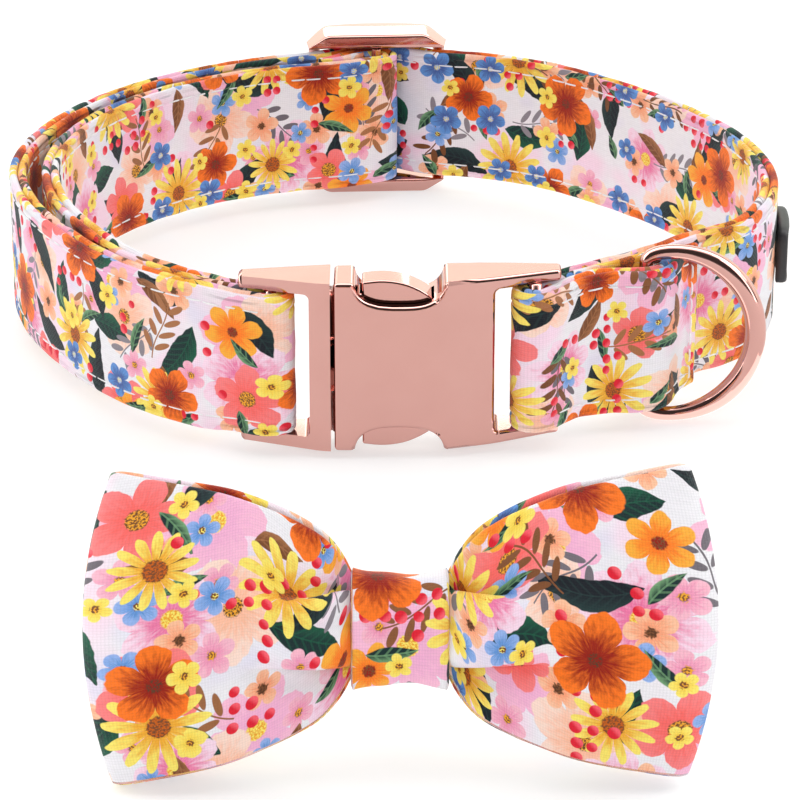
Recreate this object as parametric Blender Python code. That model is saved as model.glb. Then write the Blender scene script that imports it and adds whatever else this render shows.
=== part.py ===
"""Pet collar of folded cloth with a quick-release buckle, a slider, a D-ring and a separate bow tie.

Units are metres and +Z is up. Everything is worked out in the collar's own frame, in which +X runs
along the buckle, -Y is the front, where the buckle is, and z = 0 is the surface that it stands on.
One empty then moves the whole set so that its footprint is centred on the world's origin.
"""
import math

import bmesh
import bpy
from mathutils import Vector

# Driving sizes of the strap
LOOP_HALF_WIDTH = 0.0665
BAND_WIDTH = 0.025
FOLD_WIDTH = 0.0242
STRAP_THICKNESS = 0.003
LIP_DROP = 0.0008
SEAM_DEPTH = 0.0006
LEFT_SLACK = 0.0024
STATION_STEP = 5.0
FINE_STEP = 2.5
FOLD_START = 2.5

# Clearances
TOUCH_GAP = 0.0003
LAYER_GAP = 0.0004
WINDOW_CLEARANCE = 0.0003

# Driving sizes of the buckle
BUCKLE_LENGTH = 0.052
BUCKLE_HEIGHT = 0.0292
BUCKLE_THICKNESS = 0.0098
BUCKLE_PROUD = 0.0019
MALE_LENGTH = 0.0148
MALE_CROSSBAR = 0.0034
SLIT = 0.0006
BODY_WALL = 0.0016
BODY_END_WALL = 0.0022
POST_LENGTH = 0.0039
SCOOP_LENGTH = 0.0146
SCOOP_DEPTH = 0.0041
WING_REACH = 0.0161
WING_ROOT = 0.005
FOLD_GAP = 0.0022
STRAP_BAR = 0.002
MALE_BAR_INSET = 0.0052
FEMALE_BAR_INSET = 0.0042
METAL_EDGE = 0.0004

# Driving sizes of the slider at the back
SLIDER_ANGLE = 94.0
SLIDER_LENGTH = 0.026
SLIDER_CLEARANCE = 0.0008
SLIDER_RAIL = 0.0027
SLIDER_BAR_DEPTH = 0.003
SLIDER_SIDE_BAR = 0.0022
SLIDER_CORNER = 0.0034
SLIDER_COVER = 0.0011
SLIDER_SPREAD = 11.0
TAIL_SPAN = 10.0

# Driving sizes of the D-ring
RING_ANGLE = -49.6
RING_SPREAD = 8.0
RING_BAR_DEPTH = 0.0004
RING_CLEARANCE = 0.0007
RING_REACH = 0.0200
RING_BAR = 0.0024
RING_WIRE = 0.0035
RING_CORNER = 0.0018
RING_SHOULDER = 0.0042
FRONT_LAYER_END = -38.4
STEP_DOWN_SPAN = 15.0

# Driving sizes of the rubber label
LABEL_ANGLE = -5.5
LABEL_SPAN = 12.0
LABEL_HEIGHT = 0.0104
LABEL_THICKNESS = 0.0019
LABEL_EDGE = 0.0006

# Driving sizes of the bow
BOW_HALF_WIDTH = 0.042
BOW_HALF_HEIGHT = 0.0209
BOW_CLOTH = 0.0013
BOW_DEPTH = 0.0062
BOW_PLEAT = 0.0022
BOW_END_CURVE = 0.0038
BOW_LEAN = 20.0
BOW_AHEAD = 0.0983
KNOT_LENGTH = 0.0126
KNOT_HALF_HEIGHT = 0.0073
KNOT_FLARE = 0.00085
KNOT_HALF_DEPTH = 0.0044
BACK_LOOP_LENGTH = 0.011
BACK_LOOP_HALF_HEIGHT = 0.0063
BACK_LOOP_OPENING = 0.0066
BACK_LOOP_CLOTH = 0.0014

# Outer line of the collar seen from above: angle from +X, radius as a share of LOOP_HALF_WIDTH
PLAN_OUTLINE = (
    (-105.0, 0.941),
    (-90.0, 0.907),
    (-74.0, 0.917),
    (-60.0, 0.928),
    (-41.0, 0.951),
    (-26.0, 0.982),
    (-8.0, 0.996),
    (12.0, 0.969),
    (32.0, 0.938),
    (50.0, 0.946),
    (65.0, 0.981),
    (79.0, 0.999),
    (94.0, 1.002),
    (109.0, 1.009),
    (124.0, 1.013),
    (143.0, 1.022),
    (162.0, 1.030),
    (180.0, 1.032),
    (193.0, 1.013),
    (210.0, 0.993),
    (231.0, 1.000),
    (244.0, 0.993),
    (255.0, 0.941),
)

# Slack between the two left layers: degrees past the slider, share of LEFT_SLACK
INNER_SLACK = (
    (0.0, 0.35),
    (6.0, 0.75),
    (12.0, 1.25),
    (20.0, 1.15),
    (36.0, 0.85),
    (60.0, 0.75),
    (88.0, 0.95),
    (112.0, 0.50),
    (132.0, 0.12),
    (160.0, 0.0),
)

# Section of the strap across its width: share of half the thickness, drop from the edge in shares
# of LIP_DROP for the rounded lips and of SEAM_DEPTH for the seam between them
LIP_SECTION = (
    (1.0, 1.0, 0.0),
    (0.62, 0.0, 0.0),
    (0.0, 0.0, 1.0),
    (-0.62, 0.0, 0.0),
    (-1.0, 1.0, 0.0),
)

# Buckle seen from above: share of its length from the male end, set-back of the front face and
# thickness as shares of BUCKLE_THICKNESS, height as a share of BUCKLE_HEIGHT
BUCKLE_PLAN = (
    (0.0, 0.45, 0.29, 0.980),
    (0.265, 0.0, 0.88, 1.0),
    (0.62, 0.0, 1.0, 1.0),
    (0.79, 0.26, 0.78, 1.0),
    (1.0, 0.71, 0.35, 0.980),
)

# Release wing, outline of its visible button: share of the button's length, share of BUCKLE_HEIGHT
WING_BUTTON = (
    (0.0, 0.484),
    (0.3, 0.494),
    (0.6, 0.477),
    (0.85, 0.435),
    (1.0, 0.395),
)

# Bow lobe from the middle outwards: share of its half width, half height, front and back depth as
# shares, and how much of the pleat stands out there
LOBE_SECTIONS = (
    (0.0, 0.265, 0.15, 0.15, 0.30),
    (0.08, 0.270, 0.15, 0.15, 0.30),
    (0.148, 0.295, 0.17, 0.17, 0.32),
    (0.17, 0.375, 0.24, 0.22, 0.65),
    (0.20, 0.470, 0.32, 0.30, 0.95),
    (0.25, 0.575, 0.46, 0.44, 1.0),
    (0.33, 0.675, 0.66, 0.62, 0.70),
    (0.43, 0.765, 0.84, 0.82, 0.32),
    (0.55, 0.855, 0.97, 0.98, 0.08),
    (0.68, 0.915, 1.0, 1.04, 0.0),
    (0.80, 0.955, 0.92, 0.98, 0.0),
    (0.90, 0.985, 0.70, 0.76, 0.0),
    (0.965, 1.0, 0.42, 0.46, 0.0),
    (1.0, 1.0, 0.12, 0.12, 0.0),
)

# Pleat at the knot: share of the half height from bottom to top, share of the pleat's depth
PLEAT_SECTION = (
    (-1.0, 0.0),
    (-0.78, -0.15),
    (-0.56, -0.55),
    (-0.44, 0.75),
    (-0.28, 1.0),
    (0.0, 0.95),
    (0.26, 0.80),
    (0.42, -0.25),
    (0.62, -0.35),
    (0.82, -0.10),
    (1.0, 0.0),
)

COLOURS = {
    "printed_cotton": ((0.88, 0.70, 0.66), 0.85, 0.0),
    "rose_gold": ((0.86, 0.56, 0.46), 0.18, 1.0),
    "black_rubber": ((0.02, 0.02, 0.022), 0.55, 0.0),
    "white_elastic": ((0.85, 0.84, 0.82), 0.8, 0.0),
}

HALF_STRAP = STRAP_THICKNESS / 2
SLIDER_HEIGHT = BAND_WIDTH + 2 * (SLIDER_CLEARANCE + SLIDER_RAIL)
RING_HEIGHT = BAND_WIDTH + 2 * (RING_CLEARANCE + RING_BAR)
MIDDLE_Z = max(SLIDER_HEIGHT, RING_HEIGHT, BUCKLE_HEIGHT) / 2
BAR_RADIUS = STRAP_BAR / 2
BAR_TO_STRAP = BAR_RADIUS + TOUCH_GAP + HALF_STRAP


def smooth_table(rows, place, column=1):
    """The value of one column at a place between the rows, on a smooth cubic."""
    last = len(rows) - 1
    place = min(max(place, rows[0][0]), rows[last][0])
    index = 0
    while index < last - 1 and place > rows[index + 1][0]:
        index += 1
    before = max(index - 1, 0)
    after = min(index + 2, last)
    start = rows[index][0]
    span = rows[index + 1][0] - start
    low = rows[index][column]
    high = rows[index + 1][column]
    slope_low = (high - rows[before][column]) / (rows[index + 1][0] - rows[before][0])
    slope_high = (rows[after][column] - low) / (rows[after][0] - start)
    t = (place - start) / span
    a = 2 * t ** 3 - 3 * t ** 2 + 1
    b = t ** 3 - 2 * t ** 2 + t
    c = 3 * t ** 2 - 2 * t ** 3
    d = t ** 3 - t ** 2
    return a * low + b * span * slope_low + c * high + d * span * slope_high


def straight_table(rows, place, column):
    """The value of one column at a place between the rows, on straight lines."""
    for low, high in zip(rows, rows[1:]):
        if place <= high[0]:
            share = (place - low[0]) / (high[0] - low[0])
            return low[column] + share * (high[column] - low[column])
    return rows[-1][column]


def bump(share):
    """One at zero, falling smoothly to nothing at plus and minus one."""
    if abs(share) >= 1:
        return 0.0
    return math.cos(math.pi * share / 2) ** 2


def ease(share):
    """A smooth step from zero to one."""
    share = min(max(share, 0.0), 1.0)
    return share * share * (3 - 2 * share)


def outer_line(angle):
    """A point of the collar's outer line, seen from above."""
    wrapped = (angle + 105.0) % 360.0 - 105.0
    radius = LOOP_HALF_WIDTH * smooth_table(PLAN_OUTLINE, wrapped)
    turn = math.radians(angle)
    return Vector((radius * math.cos(turn), radius * math.sin(turn)))


def inward(angle):
    """The unit normal of the outer line that points into the loop."""
    ahead = outer_line(angle + 1.0) - outer_line(angle - 1.0)
    return Vector((-ahead.y, ahead.x)).normalized()


def inside(angle, depth):
    """The point that lies a depth inside the outer line."""
    return outer_line(angle) + inward(angle) * depth


def angle_at_x(x, start, end):
    """The angle between start and end at which the outer line reaches this x."""
    for _ in range(40):
        middle = (start + end) / 2
        if (outer_line(middle).x - x) * (outer_line(start).x - x) > 0:
            start = middle
        else:
            end = middle
    return (start + end) / 2


def web_depth(angle):
    """Depth of the outer layer's middle: it rises over the slider's bar and over the D-ring's bar."""
    slider_rise = SLIDER_BAR_DEPTH - BAR_TO_STRAP - LAYER_GAP - STRAP_THICKNESS - HALF_STRAP
    ring_rise = RING_BAR_DEPTH - RING_BAR / 2 - TOUCH_GAP - STRAP_THICKNESS
    depth = HALF_STRAP
    depth += slider_rise * bump((angle - SLIDER_ANGLE) / SLIDER_SPREAD)
    depth += ring_rise * bump((angle - RING_ANGLE) / RING_SPREAD)
    return depth


def layer_below(angle):
    """How much deeper a layer under the web lies, which grows where the web slopes."""
    run = (outer_line(angle + 1.0) - outer_line(angle - 1.0)).length
    slope = (web_depth(angle + 1.0) - web_depth(angle - 1.0)) / run
    return (STRAP_THICKNESS + LAYER_GAP) * math.sqrt(1 + slope ** 2)


def tail_depth(angle):
    """Depth of the short tail that is folded round the slider's bar and sewn down under the web."""
    return web_depth(angle) + layer_below(angle)


def inner_depth(angle):
    """Depth of the inner layer on the left, which clears the tail and hangs slack at the bend."""
    past = angle - SLIDER_ANGLE
    depth = HALF_STRAP + STRAP_THICKNESS + LAYER_GAP + LEFT_SLACK * smooth_table(INNER_SLACK, past)
    if past < TAIL_SPAN * 1.3:
        over_bar = (STRAP_BAR + TOUCH_GAP) * bump(past / TAIL_SPAN)
        depth = max(depth, tail_depth(angle) + layer_below(angle) + over_bar)
    return depth


def right_depth(angle):
    """Depth of the single layer on the right, which steps in behind the folded front layer."""
    step = ease((FRONT_LAYER_END + STEP_DOWN_SPAN - angle) / STEP_DOWN_SPAN)
    return web_depth(max(angle, RING_ANGLE + RING_SPREAD)) + (STRAP_THICKNESS + LAYER_GAP) * step


def squared(turn, power):
    """A point of a rounded square of half size one: the smaller the power, the squarer it is."""
    across = math.copysign(abs(math.cos(turn)) ** power, math.cos(turn))
    return across, math.copysign(abs(math.sin(turn)) ** power, math.sin(turn))


def angle_steps(start, end, step=STATION_STEP):
    """Even steps from start to end, both included."""
    count = max(1, round(abs(end - start) / step))
    return [start + (end - start) * i / count for i in range(count + 1)]


def arc_round(centre, radius, start, end, count=7):
    """Points on an arc round a bar, seen from above, between two directions in degrees."""
    points = []
    for i in range(count):
        turn = math.radians(start + (end - start) * i / (count - 1))
        points.append(centre + Vector((math.cos(turn), math.sin(turn))) * radius)
    return points


def buckle_front():
    """The y of the buckle's flat front face."""
    return outer_line(-90.0).y - BUCKLE_PROUD


def buckle_section(x):
    """Front y, rear y and half height of the buckle at this x."""
    share = x / BUCKLE_LENGTH + 0.5
    front = buckle_front() + BUCKLE_THICKNESS * straight_table(BUCKLE_PLAN, share, 1)
    rear = front + BUCKLE_THICKNESS * straight_table(BUCKLE_PLAN, share, 2)
    return front, rear, BUCKLE_HEIGHT / 2 * straight_table(BUCKLE_PLAN, share, 3)


def buckle_bar(x):
    """Centre of the bar that carries the strap at this x: the middle of the rails there."""
    front, rear, _ = buckle_section(x)
    return Vector((x, (front + rear) / 2))


MALE_BAR = buckle_bar(-BUCKLE_LENGTH / 2 + MALE_BAR_INSET)
FEMALE_BAR = buckle_bar(BUCKLE_LENGTH / 2 - FEMALE_BAR_INSET)
SLIDER_BAR = inside(SLIDER_ANGLE, SLIDER_BAR_DEPTH)
RING_AXIS = inside(RING_ANGLE, RING_BAR_DEPTH)


def strap_route():
    """Middle line of the whole strap seen from above, from its sewn tail to its sewn front end."""
    past_rails = BUCKLE_LENGTH / 2 + STRAP_THICKNESS
    male_side = angle_at_x(-past_rails, 215.0, 265.0)
    female_side = angle_at_x(past_rails, -55.0, -85.0)
    fold_tilt_male = math.degrees(math.atan2(*(inward(male_side).xy)))
    fold_tilt_female = math.degrees(math.atan2(*(inward(female_side).xy)))
    slider_tilt = math.degrees(math.atan2(-inward(SLIDER_ANGLE).x, -inward(SLIDER_ANGLE).y))
    route = []
    for angle in angle_steps(SLIDER_ANGLE + TAIL_SPAN, SLIDER_ANGLE + FOLD_START, FINE_STEP):
        route.append(inside(angle, tail_depth(angle)))
    route += arc_round(SLIDER_BAR, BAR_TO_STRAP, 90 - slider_tilt, -90 - slider_tilt)
    for angle in angle_steps(SLIDER_ANGLE + FOLD_START, male_side):
        route.append(inside(angle, inner_depth(angle)))
    route += arc_round(MALE_BAR, BAR_TO_STRAP, 90 - fold_tilt_male, -90 - fold_tilt_male)
    for angle in angle_steps(male_side, SLIDER_ANGLE + SLIDER_SPREAD):
        route.append(inside(angle, web_depth(angle)))
    for angle in angle_steps(SLIDER_ANGLE + SLIDER_SPREAD, SLIDER_ANGLE - SLIDER_SPREAD, FINE_STEP)[1:]:
        route.append(inside(angle, web_depth(angle)))
    step_start = FRONT_LAYER_END + STEP_DOWN_SPAN
    for angle in angle_steps(SLIDER_ANGLE - SLIDER_SPREAD, step_start)[1:]:
        route.append(inside(angle, right_depth(angle)))
    for angle in angle_steps(step_start, FRONT_LAYER_END, FINE_STEP)[1:]:
        route.append(inside(angle, right_depth(angle)))
    for angle in angle_steps(FRONT_LAYER_END, female_side)[1:]:
        route.append(inside(angle, right_depth(angle)))
    route += arc_round(FEMALE_BAR, BAR_TO_STRAP, 90 - fold_tilt_female, 270 - fold_tilt_female)
    for angle in angle_steps(female_side, RING_ANGLE - RING_SPREAD):
        route.append(inside(angle, web_depth(angle)))
    for angle in angle_steps(RING_ANGLE - RING_SPREAD, FRONT_LAYER_END, FINE_STEP)[1:]:
        route.append(inside(angle, web_depth(angle)))
    return route


def strap_half_width(point):
    """Half the strap's width: it is drawn in a little where it passes between the buckle's rails."""
    if point.y > 0:
        return BAND_WIDTH / 2
    out = (abs(point.x) - BUCKLE_LENGTH / 2 - TOUCH_GAP) / (2 * STRAP_THICKNESS)
    return FOLD_WIDTH / 2 + (BAND_WIDTH - FOLD_WIDTH) / 2 * ease(out)


def new_object(name, mesh, material, collection):
    """Puts a mesh into the scene as one named object."""
    item = bpy.data.objects.new(name, mesh)
    mesh.materials.append(material)
    collection.objects.link(item)
    return item


def mesh_from(name, points, faces):
    """A closed mesh with its faces pointing out."""
    shape = bmesh.new()
    corners = [shape.verts.new(point) for point in points]
    for face in faces:
        shape.faces.new([corners[i] for i in face])
    bmesh.ops.recalc_face_normals(shape, faces=shape.faces)
    mesh = bpy.data.meshes.new(name)
    shape.to_mesh(mesh)
    shape.free()
    return mesh


def loft(name, rings, closed=False):
    """A solid through equal rings of points, capped at its ends unless it closes on itself."""
    size = len(rings[0])
    points = [point for ring in rings for point in ring]
    faces = []
    spans = len(rings) if closed else len(rings) - 1
    for i in range(spans):
        a = i * size
        b = (i + 1) % len(rings) * size
        for j in range(size):
            k = (j + 1) % size
            faces.append((a + j, a + k, b + k, b + j))
    if not closed:
        faces.append(tuple(range(size)))
        faces.append(tuple(range(len(points) - size, len(points))))
    return mesh_from(name, points, faces)


def shade(mesh, degrees=35.0):
    """Smooth shading with the real edges kept sharp."""
    mesh.shade_smooth()
    mesh.set_sharp_from_angle(angle=math.radians(degrees))


def box_mesh(name, low, high):
    """A box between two corners."""
    rings = []
    for x in (low[0], high[0]):
        rings.append([
            Vector((x, low[1], low[2])),
            Vector((x, high[1], low[2])),
            Vector((x, high[1], high[2])),
            Vector((x, low[1], high[2])),
        ])
    return loft(name, rings)


def rod_mesh(name, centre, radius, half_height, sides=12):
    """An upright rod."""
    rings = []
    for z in (MIDDLE_Z - half_height, MIDDLE_Z + half_height):
        ring = []
        for i in range(sides):
            turn = 2 * math.pi * (i + 0.5) / sides
            ring.append(Vector((centre.x + radius * math.cos(turn), centre.y + radius * math.sin(turn), z)))
        rings.append(ring)
    return loft(name, rings)


def combined(name, base, steps):
    """The mesh that is left when other meshes are added to a base or cut from it."""
    body = bpy.data.objects.new(name, base)
    bpy.context.scene.collection.objects.link(body)
    tools = []
    for operation, mesh in steps:
        tool = bpy.data.objects.new(mesh.name, mesh)
        bpy.context.scene.collection.objects.link(tool)
        tools.append(tool)
        change = body.modifiers.new(mesh.name, "BOOLEAN")
        change.operation = operation
        change.solver = "EXACT"
        change.object = tool
    graph = bpy.context.evaluated_depsgraph_get()
    result = bpy.data.meshes.new_from_object(body.evaluated_get(graph))
    result.name = name
    for used in [body] + tools:
        bpy.data.objects.remove(used, do_unlink=True)
    return result


def soften(item, width, segments=2, limit=40.0):
    """Rounds the sharp edges of a metal or rubber piece."""
    edge = item.modifiers.new("soft_edges", "BEVEL")
    edge.width = width
    edge.segments = segments
    edge.limit_method = "ANGLE"
    edge.angle_limit = math.radians(limit)
    edge.harden_normals = False


def strap_mesh():
    """The strap: one folded length of cloth with two rounded lips along each edge."""
    route = strap_route()
    rings = []
    for i, point in enumerate(route):
        ahead = route[min(i + 1, len(route) - 1)] - route[max(i - 1, 0)]
        side = Vector((-ahead.y, ahead.x)).normalized()
        half = strap_half_width(point)
        ring = []
        for sign in (1, -1):
            for share, lip, seam in LIP_SECTION:
                out = side * (share * sign * HALF_STRAP)
                height = sign * (half - lip * LIP_DROP - seam * SEAM_DEPTH)
                ring.append(Vector((point.x + out.x, point.y + out.y, MIDDLE_Z + height)))
        rings.append(ring)
    return loft("strap", rings)


def buckle_block(name, stations):
    """A solid through the buckle's sections at these x."""
    rings = []
    for x in stations:
        front, rear, half = buckle_section(x)
        rings.append([
            Vector((x, front, MIDDLE_Z - half)),
            Vector((x, rear, MIDDLE_Z - half)),
            Vector((x, rear, MIDDLE_Z + half)),
            Vector((x, front, MIDDLE_Z + half)),
        ])
    return loft(name, rings)


def window_cut(start, end):
    """The opening between the rails, through which the strap is folded."""
    half = FOLD_WIDTH / 2 + WINDOW_CLEARANCE
    reach = BUCKLE_THICKNESS * 2
    low = (start, buckle_front() - reach, MIDDLE_Z - half)
    return box_mesh("window", low, (end, buckle_front() + reach, MIDDLE_Z + half))


def core_faces():
    """Front and rear y of the hollow inside the female half."""
    front = buckle_front() + BODY_WALL
    return front, buckle_front() + BUCKLE_THICKNESS * 0.88 - BODY_WALL


def male_mesh():
    """Male half: rails, strap bar, crossbar and the tongue that guides it inside the female half."""
    end = -BUCKLE_LENGTH / 2
    inner = end + MALE_LENGTH
    block = buckle_block("male_block", (end, -BUCKLE_LENGTH / 2 * 0.47, inner))
    front, rear = core_faces()
    tongue = box_mesh(
        "tongue",
        (inner - MALE_CROSSBAR / 2, front + TOUCH_GAP, MIDDLE_Z - WING_ROOT + TOUCH_GAP),
        (inner + SLIT + WING_REACH - TOUCH_GAP, rear - TOUCH_GAP, MIDDLE_Z + WING_ROOT - TOUCH_GAP),
    )
    bar = rod_mesh("male_bar", MALE_BAR, BAR_RADIUS, FOLD_WIDTH / 2 + 2 * WINDOW_CLEARANCE)
    steps = (
        ("DIFFERENCE", window_cut(end - BAR_RADIUS, inner - MALE_CROSSBAR)),
        ("UNION", bar),
        ("UNION", tongue),
    )
    return combined("buckle_male_half", block, steps)


def scoop_cut(sign):
    """The finger scoop in the top or bottom edge of the female half."""
    start = -BUCKLE_LENGTH / 2 + MALE_LENGTH + SLIT + POST_LENGTH - METAL_EDGE - TOUCH_GAP
    centre_x = start + SCOOP_LENGTH / 2
    rise = SCOOP_DEPTH * 0.35
    half_depth = SCOOP_DEPTH + rise
    edge = MIDDLE_Z + sign * BUCKLE_HEIGHT / 2
    rings = []
    for y in (buckle_front() - BUCKLE_THICKNESS, buckle_front() + 2 * BUCKLE_THICKNESS):
        ring = []
        for i in range(24):
            wide, high = squared(2 * math.pi * i / 24, 0.7)
            x = centre_x + SCOOP_LENGTH / 2 * wide
            ring.append(Vector((x, y, edge + sign * rise + half_depth * high)))
        rings.append(ring)
    return loft("scoop", rings)


def female_mesh():
    """Female half: hollow body with two finger scoops, then rails with their strap bar."""
    start = -BUCKLE_LENGTH / 2 + MALE_LENGTH + SLIT
    end = BUCKLE_LENGTH / 2
    core_end = start + WING_REACH
    window = FEMALE_BAR.x - BAR_TO_STRAP - HALF_STRAP - FOLD_GAP
    block = buckle_block("female_block", (start, BUCKLE_LENGTH * 0.12, BUCKLE_LENGTH * 0.29, end))
    front, rear = core_faces()
    core_half = BUCKLE_HEIGHT / 2 - BODY_END_WALL
    core = box_mesh(
        "core",
        (start - SLIT, front, MIDDLE_Z - core_half),
        (core_end, rear, MIDDLE_Z + core_half),
    )
    bar = rod_mesh("female_bar", FEMALE_BAR, BAR_RADIUS, FOLD_WIDTH / 2 + 2 * WINDOW_CLEARANCE)
    steps = (
        ("DIFFERENCE", window_cut(window, end + BAR_RADIUS)),
        ("DIFFERENCE", core),
        ("DIFFERENCE", scoop_cut(1)),
        ("DIFFERENCE", scoop_cut(-1)),
        ("UNION", bar),
    )
    return combined("buckle_female_half", block, steps)


def wing_mesh(name, sign):
    """Spring wing of the male half, whose button shows in a finger scoop."""
    start = -BUCKLE_LENGTH / 2 + MALE_LENGTH + TOUCH_GAP
    button = start + SLIT + POST_LENGTH + TOUCH_GAP
    end = -BUCKLE_LENGTH / 2 + MALE_LENGTH + SLIT + WING_REACH - TOUCH_GAP
    under_post = BUCKLE_HEIGHT / 2 - BODY_END_WALL - TOUCH_GAP
    outline = [(start, WING_ROOT), (start, under_post), (button, under_post)]
    for share, height in WING_BUTTON:
        outline.append((button + (end - button) * share, BUCKLE_HEIGHT * height))
    outline.append((end, WING_ROOT))
    front, rear = core_faces()
    rings = []
    for y in (front + TOUCH_GAP, rear - TOUCH_GAP):
        rings.append([Vector((x, y, MIDDLE_Z + sign * z)) for x, z in outline])
    return loft(name, rings)


def slider_rail(sign):
    """Upper or lower rail of the slider: straight inside, outside it covers the web's rise."""
    start = angle_at_x(SLIDER_BAR.x - SLIDER_LENGTH / 2, 130.0, SLIDER_ANGLE)
    end = angle_at_x(SLIDER_BAR.x + SLIDER_LENGTH / 2, 50.0, SLIDER_ANGLE)
    web_out = HALF_STRAP - web_depth(SLIDER_ANGLE)
    edge = -TOUCH_GAP
    low = SLIDER_BAR_DEPTH + BAR_RADIUS
    outer = (
        (-1.0, edge - SLIDER_SIDE_BAR),
        (-0.72, -web_out - SLIDER_COVER * 0.4),
        (-0.3, -web_out - SLIDER_COVER),
        (0.3, -web_out - SLIDER_COVER),
        (0.72, -web_out - SLIDER_COVER * 0.4),
        (1.0, edge - SLIDER_SIDE_BAR),
    )
    normal = inward(SLIDER_ANGLE)
    along = Vector((-normal.y, normal.x))
    chord = inside(SLIDER_ANGLE, low)
    inner_half = BAND_WIDTH / 2 + SLIDER_CLEARANCE
    rings = []
    for half, shrink in ((inner_half, 0.0), (SLIDER_HEIGHT / 2, SLIDER_CORNER)):
        ring = []
        pulled = 1 - 2 * shrink / SLIDER_LENGTH
        for share, depth in outer:
            spot = inside((start + end) / 2 + (end - start) / 2 * share * pulled, depth)
            ring.append(Vector((spot.x, spot.y, MIDDLE_Z + sign * half)))
        for share in (1.0, 0.5, 0.0, -0.5, -1.0):
            spot = chord + along * (SLIDER_LENGTH / 2 * share * pulled)
            ring.append(Vector((spot.x, spot.y, MIDDLE_Z + sign * half)))
        rings.append(ring)
    return loft("rail", rings)


def slider_mesh():
    """Slider: two rails joined by a middle bar inside the fold and a side bar at each end."""
    half = SLIDER_HEIGHT / 2 - SLIDER_RAIL * 0.6
    side_radius = SLIDER_SIDE_BAR / 2
    steps = [("UNION", slider_rail(-1)), ("UNION", rod_mesh("bar", SLIDER_BAR, BAR_RADIUS, half))]
    for sign, limit in ((-1, 130.0), (1, 50.0)):
        x = SLIDER_BAR.x + sign * (SLIDER_LENGTH / 2 - side_radius * 1.15)
        angle = angle_at_x(x, limit, SLIDER_ANGLE)
        spot = inside(angle, web_depth(angle) - HALF_STRAP - TOUCH_GAP * 1.3 - side_radius)
        steps.append(("UNION", rod_mesh("side_bar", spot, side_radius, half)))
    return combined("slider", slider_rail(1), steps)


def ring_path():
    """Middle line and wire radius of the D-ring, from its bar round the bow and back."""
    top = (RING_HEIGHT - RING_BAR) / 2
    reach = RING_REACH - RING_WIRE / 2
    rows = []
    straight = top - RING_CORNER
    for z in (-straight / 2, 0.0, straight / 2):
        rows.append((0.0, z, RING_BAR / 2))
    for i in range(5):
        turn = math.pi - math.pi / 2 * i / 4
        x = RING_SHOULDER + RING_SHOULDER * math.cos(turn)
        rows.append((x, top - RING_CORNER + RING_CORNER * math.sin(turn), RING_BAR / 2))
    for i in range(1, 20):
        turn = math.pi / 2 - math.pi * i / 20
        thick = RING_BAR / 2 + (RING_WIRE - RING_BAR) / 2 * ease(math.cos(turn) * 1.3)
        x = RING_SHOULDER + (reach - RING_SHOULDER) * math.cos(turn)
        rows.append((x, top * math.sin(turn), thick))
    for i in range(5):
        turn = -math.pi / 2 - math.pi / 2 * i / 4
        x = RING_SHOULDER + RING_SHOULDER * math.cos(turn)
        rows.append((x, RING_CORNER - top + RING_CORNER * math.sin(turn), RING_BAR / 2))
    return rows


def ring_mesh(sides=10):
    """The D-ring in its own frame: its bar stands on the origin and its bow points along +X."""
    rows = ring_path()
    rings = []
    for i, (x, z, thick) in enumerate(rows):
        ahead = rows[(i + 1) % len(rows)]
        behind = rows[i - 1]
        run = Vector((ahead[0] - behind[0], 0.0, ahead[1] - behind[1])).normalized()
        out = Vector((run.z, 0.0, -run.x))
        ring = []
        for j in range(sides):
            turn = 2 * math.pi * j / sides
            spoke = out * math.cos(turn) + Vector((0.0, 1.0, 0.0)) * math.sin(turn)
            ring.append(Vector((x, 0.0, z)) + spoke * thick)
        rings.append(ring)
    return loft("d_ring", rings, closed=True)


def label_mesh():
    """Bare rubber label that lies along the strap's outer face."""
    rings = []
    steps = angle_steps(LABEL_ANGLE - LABEL_SPAN / 2, LABEL_ANGLE + LABEL_SPAN / 2, LABEL_SPAN / 6)
    half = LABEL_HEIGHT / 2
    for i, angle in enumerate(steps):
        at_end = i in (0, len(steps) - 1)
        lift = LABEL_THICKNESS * (0.6 if at_end else 1.0)
        ring = []
        for depth, z in ((0.0, -half), (0.0, half), (lift, half - LABEL_EDGE), (lift, LABEL_EDGE - half)):
            spot = inside(angle, -TOUCH_GAP - depth)
            ring.append(Vector((spot.x, spot.y, MIDDLE_Z + z)))
        rings.append(ring)
    return loft("label", rings)


def lobe_station(share, across, front, sign):
    """Middle-line point of the bow's cloth: share along the lobe, across from bottom to top."""
    half = BOW_HALF_HEIGHT * smooth_table(LOBE_SECTIONS, share, 1)
    column = 2 if front else 3
    depth = BOW_DEPTH * straight_table(LOBE_SECTIONS, share, column)
    pleat = BOW_PLEAT * straight_table(LOBE_SECTIONS, share, 4) * straight_table(PLEAT_SECTION, across, 1)
    face = -1 if front else 1
    fold = 1.0 if front else 0.4
    out = BOW_HALF_WIDTH * share - BOW_END_CURVE * share ** 5 * across ** 2
    return Vector((sign * out, face * (depth + pleat * fold), half * across))


def bow_loop_stations():
    """Once round the bow seen from above: front to the right, its back to the left, front again."""
    shares = [row[0] for row in LOBE_SECTIONS]
    stations = [(share, True, 1) for share in shares]
    stations += [(share, False, 1) for share in reversed(shares[1:])]
    stations += [(share, False, -1) for share in shares]
    stations += [(share, True, -1) for share in reversed(shares[1:])]
    return stations


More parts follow.
